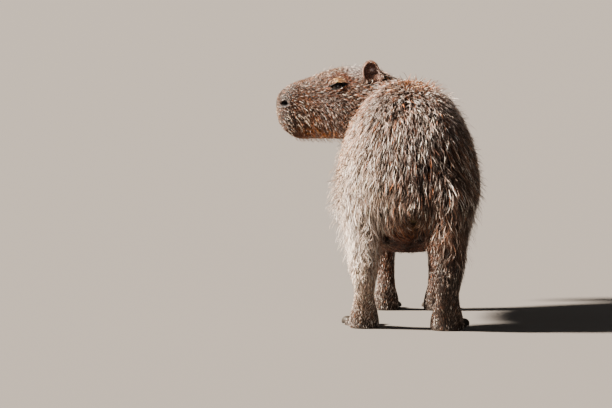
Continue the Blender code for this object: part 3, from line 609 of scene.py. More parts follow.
def leg_form(leg):
    """One leg in its coat, from inside the trunk down to the sole."""
    rings = []
    for z, out, along, half_width, half_depth in through_stations(leg["rings"]):
        centre = Vector((leg["side"] * (leg["x"] + out), leg["y"] + along, z))
        rings.append(ring(centre, Vector((1, 0, 0)), Vector((0, 1, 0)),
                          half_width * leg["girth"], half_depth, half_depth, 2.1))
    return loft("leg form", rings)


def foot_middle(leg):
    """Where the middle of a leg's foot stands on the floor."""
    return Vector((leg["side"] * leg["x"], leg["y"] + leg["rings"][-1][2], 0))


def toes_of(leg):
    """Root, heading, length and radius of each toe of a leg."""
    fore = leg["rings"] is FORE_LEG
    radius = FORE_TOE_RADIUS if fore else HIND_TOE_RADIUS
    for splay, length in FORE_TOES if fore else HIND_TOES:
        turn = math.radians(splay + leg["side"] * leg["toe_out"])
        yield foot_middle(leg), Vector((math.sin(turn), -math.cos(turn), 0)), length, radius


def toe_form(root, heading, length, radius):
    """One toe from the foot's middle, cut flat by the floor."""
    rings = []
    for share, girth in through_stations(TOE_RING_SHARES, 3):
        reach = radius * girth
        centre = root + heading * (length * share) + UP * (reach - SOLE_SINK)
        rings.append(ring(centre, heading.cross(UP), UP, reach, reach, reach, 2.2, sides=20))
    return loft("toe form", rings)


# The coat's fields: where the skin is bare, how deep the coat is, how it lies and how it is marked, painted
# light and shade included


def out_from_head(points):
    """The same points with Y measured out from the head's plane, alike on both sides."""
    out = points.copy()
    out[:, 1] = np.abs(points[:, 1] - HEAD_PLANE_Y)
    return out


def ear_axes():
    """The ear's own directions: up to its tip, out of its cup and to its front edge."""
    up = EAR_UP.normalized()
    facing = (EAR_FACING - up * EAR_FACING.dot(up)).normalized()
    return up, facing, up.cross(facing)


def past_widest(along):
    """0 up to the ear's widest level, rising to 1 at its tip."""
    return np.maximum(along - EAR_WIDEST, 0) / (1 - EAR_WIDEST)


def ear_rounding(along):
    """The ear's width towards its round tip, as a share of its greatest."""
    return np.maximum(1 - past_widest(along) ** EAR_ROUNDNESS, EAR_TIP_SHARE) ** 0.5


def ear_cup(across, along):
    """How far the ear's shell curls forward from its root's plane."""
    beyond = past_widest(along)
    return EAR_CUP_DEPTH * across**2 * (1 - 0.6 * beyond) + 0.5 * EAR_CUP_DEPTH * beyond**2


def ear_shares(points):
    """Across and along the ear, and how far before its shell, for each point."""
    up, facing, front = (np.array(axis) for axis in ear_axes())
    from_root = out_from_head(points) - np.array(EAR_ROOT)
    across = from_root @ front / (EAR_WIDTH / 2)
    along = from_root @ up / EAR_LENGTH
    return across, along, from_root @ facing - ear_cup(np.clip(across, -1, 1), along)


def on_ear(points):
    """1 on the ears and 0 elsewhere."""
    across, along, before = ear_shares(points)
    inside = (1 - eased(np.abs(across), 1.10, 1.35)) * (1 - eased(np.abs(before), 0.008, 0.014))
    return eased(along, 0.02, 0.16) * inside


def in_ear_cup(points):
    """1 on the hollow side of the ears."""
    before = ear_shares(points)[2]
    return on_ear(points) * eased(before, 0.0, 0.3 * EAR_THICKNESS)


def eye_level(out):
    """How far each point is along the eye's slit and above it."""
    tilt = math.radians(EYE_TILT)
    along = (out[:, 0] - EYE.x) * math.cos(tilt) - (out[:, 2] - EYE.z) * math.sin(tilt)
    rise = (out[:, 0] - EYE.x) * math.sin(tilt) + (out[:, 2] - EYE.z) * math.cos(tilt)
    return along, rise


def oval_line(along, rise, stretch, radius, breadth):
    """1 on an oval line round the eye, falling softly away on both sides of it."""
    return np.exp(-((np.hypot(along / stretch, rise) - radius) / breadth) ** 2)


def slit_distance(points, stretch=1.0):
    """How far each point of the head is from the slit between the lids, less than 0 inside it."""
    out = out_from_head(points)
    along, rise = eye_level(out)
    half_length, half_height = EYE_OPENING[0] * stretch, EYE_OPENING[1]
    arch = half_height * np.clip(1 - (along / half_length) ** 2, 0.0, 1.0) ** 0.75
    beyond = np.abs(along) - half_length
    distance = np.where(beyond > 0, np.hypot(beyond, rise), np.abs(rise) - arch)
    close = (np.abs(out[:, 0] - EYE.x) < 0.05) & (np.abs(out[:, 2] - EYE.z) < 0.05)
    return np.where(close & (out[:, 1] > 0.020), distance, 1.0)


def bare_share(points):
    """1 where the skin shows without hair: nose, lids' rims, the ears' cups, the rump's patch and soles."""
    out = out_from_head(points)
    nose = near(out, (0.318, 0.0, 0.492), (0.012, 0.019, 0.014))
    nostril = near(out, NOSTRIL, (0.0125, 0.014, 0.0092))
    lids = 1 - eased(slit_distance(points, 1.10), 0.0014, 0.0034)
    rump = near(points, (-0.008, 0.385, 0.262), (0.020, 0.05, 0.024))
    soles = 1 - eased(points[:, 2], 0.001, 0.006)
    shares = [1.3 * nose, 1.3 * nostril, lids, 0.8 * rump, soles, 0.60 * in_ear_cup(points)]
    return np.clip(np.maximum.reduce(shares), 0.0, 1.0)


def face_share(points):
    """1 on the face, 0 on the neck and behind it."""
    x, y, z = points.T
    return eased(x, 0.000, 0.135) * eased(y, -0.310, -0.360) * eased(z, 0.350, 0.410)


def coat_depth(points):
    """How deep the coat stands on the skin at each point."""
    x, _, z = points.T
    out = out_from_head(points)
    belly = 0.55 * np.exp(-(x / 0.10) ** 4) * eased(z, 0.26, 0.20)
    rump = near(points, (-0.008, 0.39, 0.275), (0.040, 0.06, 0.045))
    eyes = near(out, EYE, (0.026, 0.03, 0.022))
    chin = near(out, (0.265, 0.0, 0.418), (0.030, 0.05, 0.014))
    jowl = near(out, (0.165, 0.06, 0.435), (0.060, 0.05, 0.035))
    feet = 1 - eased(z, 0.03, 0.07)
    depth = LEG_DEPTH + (TRUNK_DEPTH - LEG_DEPTH) * eased(z, 0.09, 0.22)
    depth *= 1 - belly
    depth *= 1 - 0.65 * rump
    face_depth = CHEEK_DEPTH - (CHEEK_DEPTH - NOSE_DEPTH) * eased(x, 0.16, 0.31)
    face_depth *= 1 - 0.6 * eyes
    face_depth += 0.0025 * chin
    face_depth += 0.0030 * jowl
    depth += (face_depth - depth) * face_share(points)
    depth += (EAR_DEPTH - depth) * on_ear(points)
    return depth * (1 - 0.5 * feet) * (1 - 0.9 * bare_share(points))


def lie(points, normals):
    """The way the coat lies: away from the nose, round the neck, along the trunk and down the legs."""
    x, y, z = points.T
    down_cheek = eased(z, 0.535, 0.455) * eased(x, 0.305, 0.235)
    from_nose = unit(points - np.array((0.335, HEAD_PLANE_Y, 0.500)))
    from_nose[:, 2] -= 1.15 * down_cheek
    bend = unit(np.column_stack([y - NECK_BEND.y, NECK_BEND.x - x, np.zeros(len(x))]))
    bend[:, 2] = -0.75
    low = eased(z, 0.30, 0.15)
    behind = eased(y, 0.27, 0.35) * eased(z, 0.50, 0.40)
    trunk = np.column_stack([0.35 * x / 0.16, 1 - behind, -0.62 - 2.5 * low - 2.0 * behind])
    to_neck = eased(y, -0.280, -0.320)[:, None]
    to_head = (eased(x, 0.060, 0.120) * eased(y, -0.30, -0.34) * eased(z, 0.34, 0.39))[:, None]
    flow = unit(trunk) * (1 - to_neck) + unit(bend) * to_neck
    flow = flow * (1 - to_head) + unit(from_nose) * to_head
    up_ear = on_ear(points)[:, None]
    flow = flow * (1 - up_ear) + np.array(ear_axes()[0]) * up_ear
    flow -= normals * (flow * normals).sum(axis=1)[:, None]
    return unit(flow)


def plain_share(points):
    """1 where the coat is of one colour, without other hairs among it: belly, eyelids and nose."""
    out = out_from_head(points)
    belly = near(points, (0.0, 0.16, 0.165), (0.11, 0.36, 0.075))
    lids = 0.5 * near(out, EYE + Vector((0, 0, 0.004)), (0.028, 0.03, 0.022)) * face_share(points)
    nose = 0.45 * near(out, (0.300, 0.0, 0.495), (0.022, 0.06, 0.026))
    forehead = 0.7 * near(out, (0.130, 0.02, 0.578), (0.024, 0.05, 0.022))
    rump = near(points, (0.0, 0.37, 0.235), (0.060, 0.08, 0.040))
    muzzle = 0.35 * near(out, (0.275, 0.02, 0.452), (0.040, 0.06, 0.040))
    shaded_thigh = 0.55 * near(points, (-0.100, 0.34, 0.17), (0.065, 0.14, 0.16))
    shares = [belly, lids, nose, forehead, rump, muzzle, shaded_thigh]
    return np.clip(1.5 * np.maximum.reduce(shares), 0.0, 1.0)


def pale_tips(points):
    """How pale the hairs' tips are: most on the left thigh, least on the right flank, rump and muzzle. The
    few pale tips on the right flank and right hind leg are painted shade, and the many on the left thigh
    are painted light.
    """
    out = out_from_head(points)
    # painted shade: fewer pale tips on the right flank and the right hind leg
    right = 0.92 * near(points, (-0.145, 0.32, 0.24), (0.09, 0.24, 0.28))
    leg = 0.8 * near(points, (-0.085, 0.34, 0.17), (0.05, 0.13, 0.14))
    rump = 0.4 * near(points, (-0.030, 0.38, 0.36), (0.08, 0.12, 0.09))
    muzzle = 0.95 * near(out, (0.280, 0.02, 0.475), (0.045, 0.07, 0.055)) * face_share(points)
    crest = 0.7 * near(points, (0.0, -0.10, 0.565), (0.14, 0.28, 0.030))
    shoulder = 0.65 * near(points, (0.115, -0.09, 0.490), (0.045, 0.15, 0.070))
    fading = (right, leg, rump, muzzle, crest, shoulder, 0.6 * on_ear(points), 0.9 * plain_share(points))
    # painted light: more pale tips on the lit left thigh
    thigh = near(points, (0.125, 0.33, 0.22), (0.06, 0.14, 0.15))
    return (1 + 0.5 * thigh) * np.prod([1 - share for share in fading], axis=0)


def painted(colours, hex_colour, share):
    """The colours with another laid over them by its share at each point."""
    share = np.clip(share, 0.0, 1.0)[:, None]
    return colours * (1 - share) + np.array(linear(hex_colour)[:3]) * share


def eye_marks(out, face):
    """The shares of a rufous brow, partly painted shade in the crease above the lid, of a pale golden upper
    lid, partly a painted highlight, of a brown lower lid, and of painted shade in the fold under it.
    """
    along, rise = eye_level(out)
    at_eye = face * (out[:, 1] > 0.02)
    # rufous brow, partly painted shade in the crease above the lid
    brow = oval_line(along - 0.003, rise, 1.25, 0.0235, 0.0045) * (rise > -0.004)
    # pale golden upper lid, partly a painted highlight
    lid = np.exp(-((along - 0.002) / 0.0132) ** 2 - ((rise - 0.0118) / 0.0062) ** 2)
    lower_lid = np.exp(-((along - 0.005) / 0.0235) ** 4 - ((rise + 0.0108) / 0.0064) ** 4)
    # painted shade: a dark line in the fold under the lower lid
    fold = oval_line(along - 0.004, rise, 1.45, 0.0165, 0.0016) * (rise < -0.004)
    return {"brow": 0.9 * at_eye * brow, "lid": at_eye * lid, "lower lid": 0.9 * at_eye * lower_lid,
            "fold": 0.8 * at_eye * fold}


def markings(points):
    """The coat's colour at each point, for skin and tufts alike, with painted light and shade among its
    markings.
    """
    colours = np.tile(linear(COAT_COLOURS["ground"])[:3], (len(points), 1))
    for name, centre, radii, strength in TRUNK_MARKINGS:
        colours = painted(colours, COAT_COLOURS[name], strength * near(points, centre, radii))
    out = out_from_head(points)
    face = face_share(points)
    for name, centre, radii, strength in HEAD_MARKINGS:
        colours = painted(colours, COAT_COLOURS[name], strength * face * near(out, centre, radii))
    shares = {"ear": 0.6 * on_ear(points), **eye_marks(out, face)}
    for name, share in shares.items():
        colours = painted(colours, COAT_COLOURS[name], share)
    return colours


# The skin


def outline_group(skin):
    """Weighs the skin's vertices so that face and feet stay crisp and the neck's bend softens."""
    skin.vertex_groups.clear()
    soften = skin.vertex_groups.new(name="soften")
    bend = skin.vertex_groups.new(name="bend")
    places = places_of(skin.data)
    x, y, z = places.T
    feet = z < 0.078
    face = (x > 0.100) & (y < -0.33) & (z > 0.36) & ~feet
    turned = (y < -0.19) & (x < 0.105) & (z > 0.23)
    for chosen, weight in ((feet, 0.10), (face, 0.22), (~feet & ~face, 1.0)):
        soften.add(np.nonzero(chosen)[0].tolist(), weight, "REPLACE")
    bend.add(np.nonzero(turned)[0].tolist(), 1.0, "REPLACE")


def remesh(obj):
    """Draws one closed surface round all that the object holds."""
    modifier = obj.modifiers.new("one skin", "REMESH")
    modifier.mode = "VOXEL"
    modifier.voxel_size = VOXEL
    bake_modifiers(obj)
    outline_group(obj)


def smooth(obj, group, iterations, factor=0.6):
    """Adds a smoothing of the vertices by their weight in a group."""
    modifier = obj.modifiers.new("smooth", "SMOOTH")
    modifier.factor = factor
    modifier.iterations = iterations
    modifier.vertex_group = group


def sink_by_coat(skin):
    """Moves the coat's outline in to the skin under it."""
    places = places_of(skin.data)
    set_places(skin.data, places - normals_of(skin.data) * coat_depth(places)[:, None])


def refine(skin, inside, cuts=1):
    """Splits the faces whose corners are all inside, to carry finer shapes."""
    bm = bmesh.new()
    bm.from_mesh(skin.data)
    chosen = inside(places_of(skin.data))
    edges = [edge for edge in bm.edges if all(chosen[corner.index] for corner in edge.verts)]
    bmesh.ops.subdivide_edges(bm, edges=edges, cuts=cuts, use_grid_fill=True)
    bm.to_mesh(skin.data)
    bm.free()


def around_head(points):
    """True on the head and the ears' roots."""
    x, y, z = points.T
    return (x > 0.06) & (y < -0.335) & (z > 0.37)


def around_features(points):
    """True round the eyes and the nostrils."""
    out = out_from_head(points)
    eye = near(out, EYE, (0.034, 0.030, 0.030)) > 0.37
    nostril = near(out, NOSTRIL, (0.024, 0.024, 0.022)) > 0.37
    return eye | nostril


def shape_eyes(places):
    """Opens the slit between the lids, thickens their rims and presses in the folds round them."""
    out = out_from_head(places)
    along, rise = eye_level(out)
    distance = slit_distance(places)
    on_side = near(out, EYE, (0.044, 0.030, 0.038)) > 0.2
    rim = 0.0010 * np.exp(-((distance - 0.0018) / 0.0013) ** 2)
    pocket = -0.0080 * eased(-distance, -0.0004, 0.0008)
    past_corner = np.maximum(np.abs(along) - EYE_OPENING[0] * 0.95, 0)
    corners = -0.0018 * np.exp(-(past_corner / 0.005) ** 2 - (rise / 0.0016) ** 2) * (past_corner > 0)
    upper_fold = -0.0024 * oval_line(along, rise, 1.30, 0.0180, 0.0017) * (rise > 0)
    lower_fold = -0.0018 * oval_line(along, rise, 1.45, 0.0135, 0.0015) * (rise < 0)
    lid = 0.0016 * np.exp(-(along / 0.014) ** 2 - ((rise - 0.0115) / 0.0045) ** 2)
    brow = 0.0034 * near(out, EYE + Vector((-0.002, 0.0, 0.026)), (0.028, 0.03, 0.007))
    move = (rim + pocket + corners + upper_fold + lower_fold + lid + brow) * on_side
    moved = places.copy()
    moved[:, 1] += np.sign(places[:, 1] - HEAD_PLANE_Y) * move
    return moved


def shape_nostrils(places, normals):
    """Sinks a comma-shaped hole on each side of the nose, with a raised rim."""
    out = out_from_head(places)
    x = out[:, 0] - NOSTRIL.x
    z = out[:, 2] - NOSTRIL.z + 18.0 * x * x
    radius = np.hypot(x / 0.0108, z / 0.0070)
    hole = -0.0120 * np.exp(-(radius / 0.80) ** 4)
    rim = 0.0014 * np.exp(-((radius - 1.35) / 0.35) ** 2)
    side = out[:, 1] > 0.015
    return places + normals * ((hole + rim) * side)[:, None]


def shape_mouth(places, normals, path):
    """Presses the line of the mouth in between the lips, and the cleft below the nose."""
    tree = KDTree(len(path))
    for index, point in enumerate(path):
        tree.insert(point, index)
    tree.balance()
    moved = places.copy()
    x, y, z = places.T
    for i in np.nonzero((x > 0.19) & (z < 0.47) & (y < -0.34))[0]:
        distance = tree.find(places[i])[2]
        moved[i] -= normals[i] * 0.0040 * math.exp(-(distance / 0.0020) ** 2)
    cleft = 0.0022 * np.exp(-((y - HEAD_PLANE_Y) / 0.0016) ** 2) * (x > 0.29) * (z < 0.487)
    return moved - normals * cleft[:, None]


def dense_path(path, steps=12):
    """The same path with steps between its points."""
    made = []
    for first, second in zip(path, path[1:]):
        made.extend(first.lerp(second, share / steps) for share in range(steps))
    return [*made, path[-1]]


def ear_point(side, across, along, depth):
    """A place on the ear: across from front to back edge, along from root to tip, depth into the cup."""
    up, facing, front = ear_axes()
    narrow = 1 - 0.26 * (1 - min(along / EAR_WIDEST, 1)) ** 1.5
    width = EAR_WIDTH / 2 * narrow * ear_rounding(along)
    rolled = 1 + 0.9 * max(abs(across) ** 6, past_widest(along) ** 6)
    into = ear_cup(across, along) + (depth - EAR_THICKNESS / 2) * rolled
    return on_head(EAR_ROOT + up * (EAR_LENGTH * along) + front * (width * across) + facing * into, side)


def ear_form(side):
    """A rounded shell, hollow on its outer side, with a soft rim."""
    across = np.linspace(-1, 1, 17)
    along = np.concatenate([np.linspace(-0.30, 0.85, 16), [0.92, 0.965, 0.99, 1.0]])
    bm = bmesh.new()
    sheets = []
    for depth in (0.0, EAR_THICKNESS):
        sheets.append([[bm.verts.new(ear_point(side, u, v, depth)) for u in across] for v in along])
    for sheet in sheets:
        for low, high in zip(sheet, sheet[1:]):
            for i in range(len(across) - 1):
                bm.faces.new((low[i], low[i + 1], high[i + 1], high[i]))
    rims = [[*sheet[0], *[row[-1] for row in sheet[1:]], *reversed(sheet[-1][:-1]),
             *[row[0] for row in reversed(sheet[1:-1])]] for sheet in sheets]
    for i in range(len(rims[0])):
        following = (i + 1) % len(rims[0])
        bm.faces.new((rims[0][i], rims[0][following], rims[1][following], rims[1][i]))
    ear = object_from("ear form", mesh_from_bmesh("ear form", bm))
    rounded = ear.modifiers.new("rounded rim", "SUBSURF")
    rounded.levels = 1
    rounded.render_levels = 1
    return bake_modifiers(ear)


def union(obj, other):
    """Makes the other part of this one, in one closed surface."""
    modifier = obj.modifiers.new("union", "BOOLEAN")
    modifier.operation = "UNION"
    modifier.solver = "MANIFOLD"
    modifier.object = other
    bake_modifiers(obj)
    bpy.data.objects.remove(other)


def body_forms(tree, head):
    """The overlapping forms of the whole animal but its ears."""
    forms = [torso_form(), neck_form(), ellipsoid("throat", THROAT, THROAT_RADII),
             ellipsoid("nape", NAPE, NAPE_RADII), *face_forms(tree), head]
    for leg in LEGS.values():
        forms.append(leg_form(leg))
        forms.extend(toe_form(*toe) for toe in toes_of(leg))
    return forms


def press_face_in(skin, mouth):
    """Presses mouth, nostrils and eyes into the skin, and flattens its soles on the floor."""
    places = shape_mouth(places_of(skin.data), normals_of(skin.data), mouth)
    places = shape_nostrils(places, normals_of(skin.data))
    places = shape_eyes(places)
    places[:, 2] = np.maximum(places[:, 2], 0.0)
    set_places(skin.data, places)


def body_skin():
    """The whole animal's skin: trunk, neck, head, ears, legs and feet in one closed surface."""
    head = head_form()
    tree = BVHTree.FromObject(head, bpy.context.evaluated_depsgraph_get())
    mouth = dense_path(mouth_path(tree, 0.0, 0.0))
    skin = join("skin", body_forms(tree, head))
    remesh(skin)
    smooth(skin, "soften", OUTLINE_PASSES)
    smooth(skin, "bend", BEND_PASSES)
    bake_modifiers(skin)
    sink_by_coat(skin)
    remesh(skin)
    smooth(skin, "soften", SKIN_PASSES)
    bake_modifiers(skin)
    refine(skin, around_head)
    refine(skin, around_features, cuts=2)
    skin.vertex_groups.clear()
    smooth(skin, "", LAST_PASSES, 0.5)
    bake_modifiers(skin)
    press_face_in(skin, mouth)
    for side in SIDES.values():
        union(skin, ear_form(side))
    return skin


# The unwrap of the skin's own shape, on which each tuft has its patch


def spine_line():
    """Points along the middle of trunk, neck and head."""
    trunk = [(0.0, row[0], row[3]) for row in TORSO[:-3]]
    neck = [(row[0], row[1], (row[3] + row[4]) / 2) for row in NECK[1:]]
    head = [(row[0], HEAD_PLANE_Y, row[3]) for row in HEAD[3:]]
    return np.array([*trunk, *neck, *head])


def unwrap(points):
    """Where each point of the skin lies on an unrolled sheet of trunk, neck, head and each leg."""
    line = spine_line()
    steps = np.diff(line, axis=0)
    lengths = np.linalg.norm(steps, axis=1)
    starts = np.concatenate([[0.0], np.cumsum(lengths)[:-1]])
    best = np.full(len(points), np.inf)
    along = np.zeros(len(points))
    turn = np.zeros(len(points))
    for start, step, length, before in zip(line[:-1], steps, lengths, starts):
        share = np.clip(((points - start) @ step) / length**2, 0.0, 1.0)
        offset = points - start - share[:, None] * step
        distance = np.linalg.norm(offset, axis=1)
        side = np.cross(step / length, (0.0, 0.0, 1.0))
        closer = distance < best
        best[closer] = distance[closer]
        along[closer] = (before + share * length)[closer]
        turn[closer] = np.arctan2(offset @ side, offset[:, 2])[closer]
    turns = turn / (2 * math.pi) + 0.5
    sheet = np.column_stack([SHEET_MARGIN + (1 - 2 * SHEET_MARGIN) * along / lengths.sum(),
                             TRUNK_BAND + TRUNK_BAND_HEIGHT * turns])
    for number, leg in enumerate(LEGS.values()):
        x = points[:, 0] - leg["side"] * leg["x"]
        y = points[:, 1] - leg["y"] - LEG_MIDDLE_Y
        on_leg = (points[:, 2] < LEG_TOP) & (np.abs(x) < LEG_REACH_X) & (np.abs(y) < LEG_REACH_Y)
        turns = np.arctan2(y, x)[on_leg] / (2 * math.pi) + 0.5
        sheet[on_leg, 0] = SHEET_MARGIN + LEG_FIELD * number + LEG_FIELD_WIDTH * turns
        sheet[on_leg, 1] = SHEET_MARGIN + LEG_BAND_HEIGHT * points[on_leg, 2] / LEG_TOP
    return sheet


# The coat


def drawn_spots(skin, rng):
    """One spot at random inside each triangle of the skin, with the skin's normal there."""
    mesh = skin.data
    places = places_of(mesh)
    mesh.calc_loop_triangles()
    corners = np.empty(len(mesh.loop_triangles) * 3, np.int32)
    mesh.loop_triangles.foreach_get("vertices", corners)
    a, b, c = (places[index] for index in corners.reshape(-1, 3).T)
    u, v = rng.uniform(0, 1, (2, len(a)))
    fold = u + v > 1
    u[fold], v[fold] = 1 - u[fold], 1 - v[fold]
    return a + (b - a) * u[:, None] + (c - a) * v[:, None], unit(np.cross(b - a, c - a))


def one_per_cell(points, cells, rng):
    """The numbers of points drawn so that each cell of its own width holds one at most."""
    order = rng.permutation(len(points))
    chosen = []
    for width in np.unique(cells[cells > 0]):
        inside = order[cells[order] == width]
        corners = np.floor(points[inside] / width).astype(int)
        chosen.append(inside[np.unique(corners, axis=0, return_index=True)[1]])
    return np.concatenate(chosen)


def cells_of(points, depth, cells):
    """Each point's cell width in a layer."""
    deep, middling, face, legs = cells
    short = np.where((face_share(points) > 0.3) | (on_ear(points) > 0.3), face, legs)
    return np.where(depth > DEEP_COAT, deep, np.where(depth > MIDDLING_COAT, middling, short))


def clumps_of(roots, depth, rng):
    """Gathers the roots into clumps. Gives each clump's middle root and each root's clump."""
    cells = np.where(depth > MIDDLING_COAT, LONG_CLUMPS, SHORT_CLUMPS)
    middles = one_per_cell(roots, cells, rng)
    tree = KDTree(len(middles))
    for number, index in enumerate(middles):
        tree.insert(roots[index], number)
    tree.balance()
    return middles, np.array([tree.find(root)[1] for root in roots])


def agouti(colours, face, plain, draw, rng):
    """Colours with hairs of other tones sprinkled among them."""
    before = np.zeros(len(colours))
    strength = AGOUTI_STRENGTH * rng.uniform(0.6, 1.0, len(colours)) * (1 - 0.9 * plain)
    for hex_colour, on_trunk, on_face in AGOUTI:
        share = on_trunk + (on_face - on_trunk) * face
        chosen = (draw >= before) & (draw < before + share)
        colours = painted(colours, hex_colour, strength * chosen)
        before = before + share
    return colours


def stand_out(points):
    """How much the hair stands off: most along the left flank's fringe, the back's crest and the chin."""
    x, y, z = points.T
    level = np.exp(-((y - 0.24) / 0.15) ** 2 - ((z - 0.31) / 0.09) ** 2)
    left = level * np.exp(-((x - 0.160) / 0.05) ** 2)
    right = 0.4 * level * np.exp(-((x + 0.160) / 0.05) ** 2)
    crest = 0.5 * np.exp(-((x + 0.07) / 0.05) ** 2 - ((y + 0.02) / 0.25) ** 2 - ((z - 0.56) / 0.05) ** 2)
    chin = 0.5 * near(out_from_head(points), (0.235, 0.02, 0.408), (0.055, 0.05, 0.012))
    return np.maximum.reduce([left, right, crest, chin])


def paths_of(tree, roots, normals, style, rings):
    """The middle, the normal and the heading of each tuft at each of its rings and at its tip."""
    levels = []
    place, normal, before = roots.copy(), normals.copy(), 0.0
    for share in (*[ring_share for ring_share, _ in rings], 1.0):
        heading = lie(place, normal)
        angle = (style["turn"] * (0.6 + 0.8 * share))[:, None]
        heading = heading * np.cos(angle) + np.cross(normal, heading) * np.sin(angle)
        if share > 0:
            stepped = place + heading * (style["length"] * (share - before))[:, None]
            found = [tree.find_nearest(point) for point in stepped]
            place = np.array([hit[0] for hit in found])
            normal = unit(normal + np.array([hit[1] for hit in found]))
        before = share
        height = style["height"] * (1 - (1 - share) ** 1.7) - ROOT_SINK * (share == 0)
        aside = style["offset"] - heading * (style["offset"] * heading).sum(axis=1)[:, None]
        middle = place + normal * height[:, None] - aside * (style["pull"] * share**1.2)[:, None]
        middle[:, 2] = np.maximum(middle[:, 2], FLOOR_CLEARANCE)
        levels.append((middle, heading, normal))
    return levels


def planted(skin, layer, rng):
    """The roots of one layer, with the skin's normal and the coat's depth at each."""
    spots, normals = drawn_spots(skin, rng)
    depth = coat_depth(spots)
    grows = (bare_share(spots) < rng.uniform(0.36, 0.64, len(spots))) & (spots[:, 2] > 0.003)
    blurred = depth * rng.uniform(0.75, 1.3, len(depth))
    chosen = one_per_cell(spots, cells_of(spots, blurred, layer["cells"]) * grows, rng)
    return spots[chosen], normals[chosen], depth[chosen]


def tuft_colours(roots, middles, clump, long_hair, shade, rng):
    """Each tuft's colour: its marking, among other hairs, in lighter and darker clumps."""
    count = len(roots)
    face = face_share(roots)
    of_clump = rng.uniform(0, 1, len(middles))[clump]
    draw = np.where(rng.uniform(0, 1, count) < 0.7 * face, of_clump, rng.uniform(0, 1, count))
    colours = agouti(markings(roots), face, plain_share(roots), draw, rng) * shade
    of_clump = rng.normal(0, 1, len(middles))[clump] * (0.26 * long_hair + 0.34 * face)
    tone = np.exp(of_clump + rng.normal(0, 1, count) * (0.72 - 0.16 * face))
    return np.minimum(colours * tone[:, None], 0.95)


def grown_layer(tree, skin, layer, rng):
    """All the tufts of one layer: their paths, what their mesh and colour need, and their rings."""
    roots, normals, depth = planted(skin, layer, rng)
    count = len(roots)
    middles, clump = clumps_of(roots, depth, rng)
    long_hair = eased(depth, 0.003, 0.014)
    fringe = stand_out(roots)
    astray = rng.uniform(0, 1, count) < 0.03 + 0.35 * fringe
    turn = (rng.normal(0, 0.14, len(middles))[clump] + rng.normal(0, 0.12, count)) * (0.7 + 0.3 * long_hair)
    lift = rng.uniform(0.70, 1.12, len(middles))[clump] * rng.uniform(0.82, 1.12, count)
    lift *= 1 + 0.15 * fringe
    face = face_share(roots)
    on_leg = (1 - long_hair) * (1 - face) * (1 - on_ear(roots))
    style = {
        "length": (0.0055 + layer["reach"] * depth + 0.005 * on_leg) * rng.uniform(0.72, 1.18, count),
        "height": layer["rise"] * depth * lift * (1 + (0.60 + 1.3 * face + 0.55 * fringe) * astray),
        "turn": turn,
        "pull": 0.30 + 0.42 * long_hair,
        "offset": roots - roots[middles][clump],
    }
    colours = tuft_colours(roots, middles, clump, long_hair, layer["shade"], rng)
    width = layer["width"] * (0.62 + 0.38 * long_hair) * rng.uniform(0.65, 1.25, count)
    width *= np.where(astray, 0.55, 1.0)
    facts = {"unwrap": unwrap(roots), "marking": colours, "width": width,
             "paling": pale_tips(roots) * rng.uniform(0.0, 1.0, count)}
    return paths_of(tree, roots, normals, style, layer["rings"]), facts, layer["rings"]


def tuft_faces(rings):
    """The triangles of one tuft: its root's, those between its rings and those of its tip."""
    last = (len(rings) - 1) * 3
    faces = [(0, 1, 2)]
    for low in range(0, last, 3):
        for corner in range(3):
            following = (corner + 1) % 3
            faces.append((low + corner, low + 3 + corner, low + 3 + following))
            faces.append((low + corner, low + 3 + following, low + following))
    faces.extend((last + corner, last + 3, last + (corner + 1) % 3) for corner in range(3))
    return np.array(faces)


def triangle_mesh(name, places, corners):
    """A mesh of triangles, from its places and the numbers of its corners."""
    mesh = bpy.data.meshes.new(name)
    mesh.vertices.add(len(places))
    mesh.loops.add(len(corners))
    mesh.polygons.add(len(corners) // 3)
    mesh.vertices.foreach_set("co", places.astype(np.float32).ravel())
    mesh.polygons.foreach_set("loop_start", np.arange(0, len(corners), 3, dtype=np.int32))
    mesh.loops.foreach_set("vertex_index", corners.astype(np.int32))
    mesh.update(calc_edges=True)
    return mesh


def tufts_mesh(name, levels, facts, rings):
    """Closed three-sided tufts, each with a pointed tip and its own patch on the unwrap."""
    count = len(facts["width"])
    per_tuft = len(rings) * 3 + 1
    places = np.zeros((count, per_tuft, 3))
    along = np.zeros((count, per_tuft))
    patch = np.zeros((count, per_tuft, 2))
    for number, ((share, breadth), (middle, heading, normal)) in enumerate(zip(rings, levels)):
        width = (facts["width"] * breadth)[:, None]
        side = unit(np.cross(heading, normal)) * width * 0.5
        for corner, shift in enumerate((side, normal * width * TUFT_THICKNESS, -side)):
            places[:, number * 3 + corner] = middle + shift
            along[:, number * 3 + corner] = share
            patch[:, number * 3 + corner] = (PATCH * share, PATCH * (corner / 2 - 0.5))
    places[:, -1] = levels[-1][0]
    along[:, -1] = 1.0
    patch[:, -1] = (PATCH, 0.0)
    corners = (tuft_faces(rings)[None] + (np.arange(count) * per_tuft)[:, None, None]).reshape(-1)
    mesh = triangle_mesh(name, places.reshape(-1, 3), corners)
    sheet = (facts["unwrap"][:, None] + patch).reshape(-1, 2)[corners]
    mesh.uv_layers.new(name="OFBake").data.foreach_set("uv", sheet.astype(np.float32).ravel())
    store_colour(mesh, "marking", facts["marking"].repeat(per_tuft, axis=0))
    store(mesh, "along", along)
    store(mesh, "paling", along * facts["paling"][:, None])
    return object_from(name, mesh)


def piece_of(sheet):
    """The number of the coat's piece that each tuft belongs to, by its place on the unwrap."""
    on_leg = sheet[:, 1] < TRUNK_BAND
    last = COAT_PIECES - 1
    region = np.clip(np.floor(sheet[:, 0] * (last - 1)).astype(int), 0, last - 2)
    return np.where(on_leg, last - (sheet[:, 0] < 0.5), region)


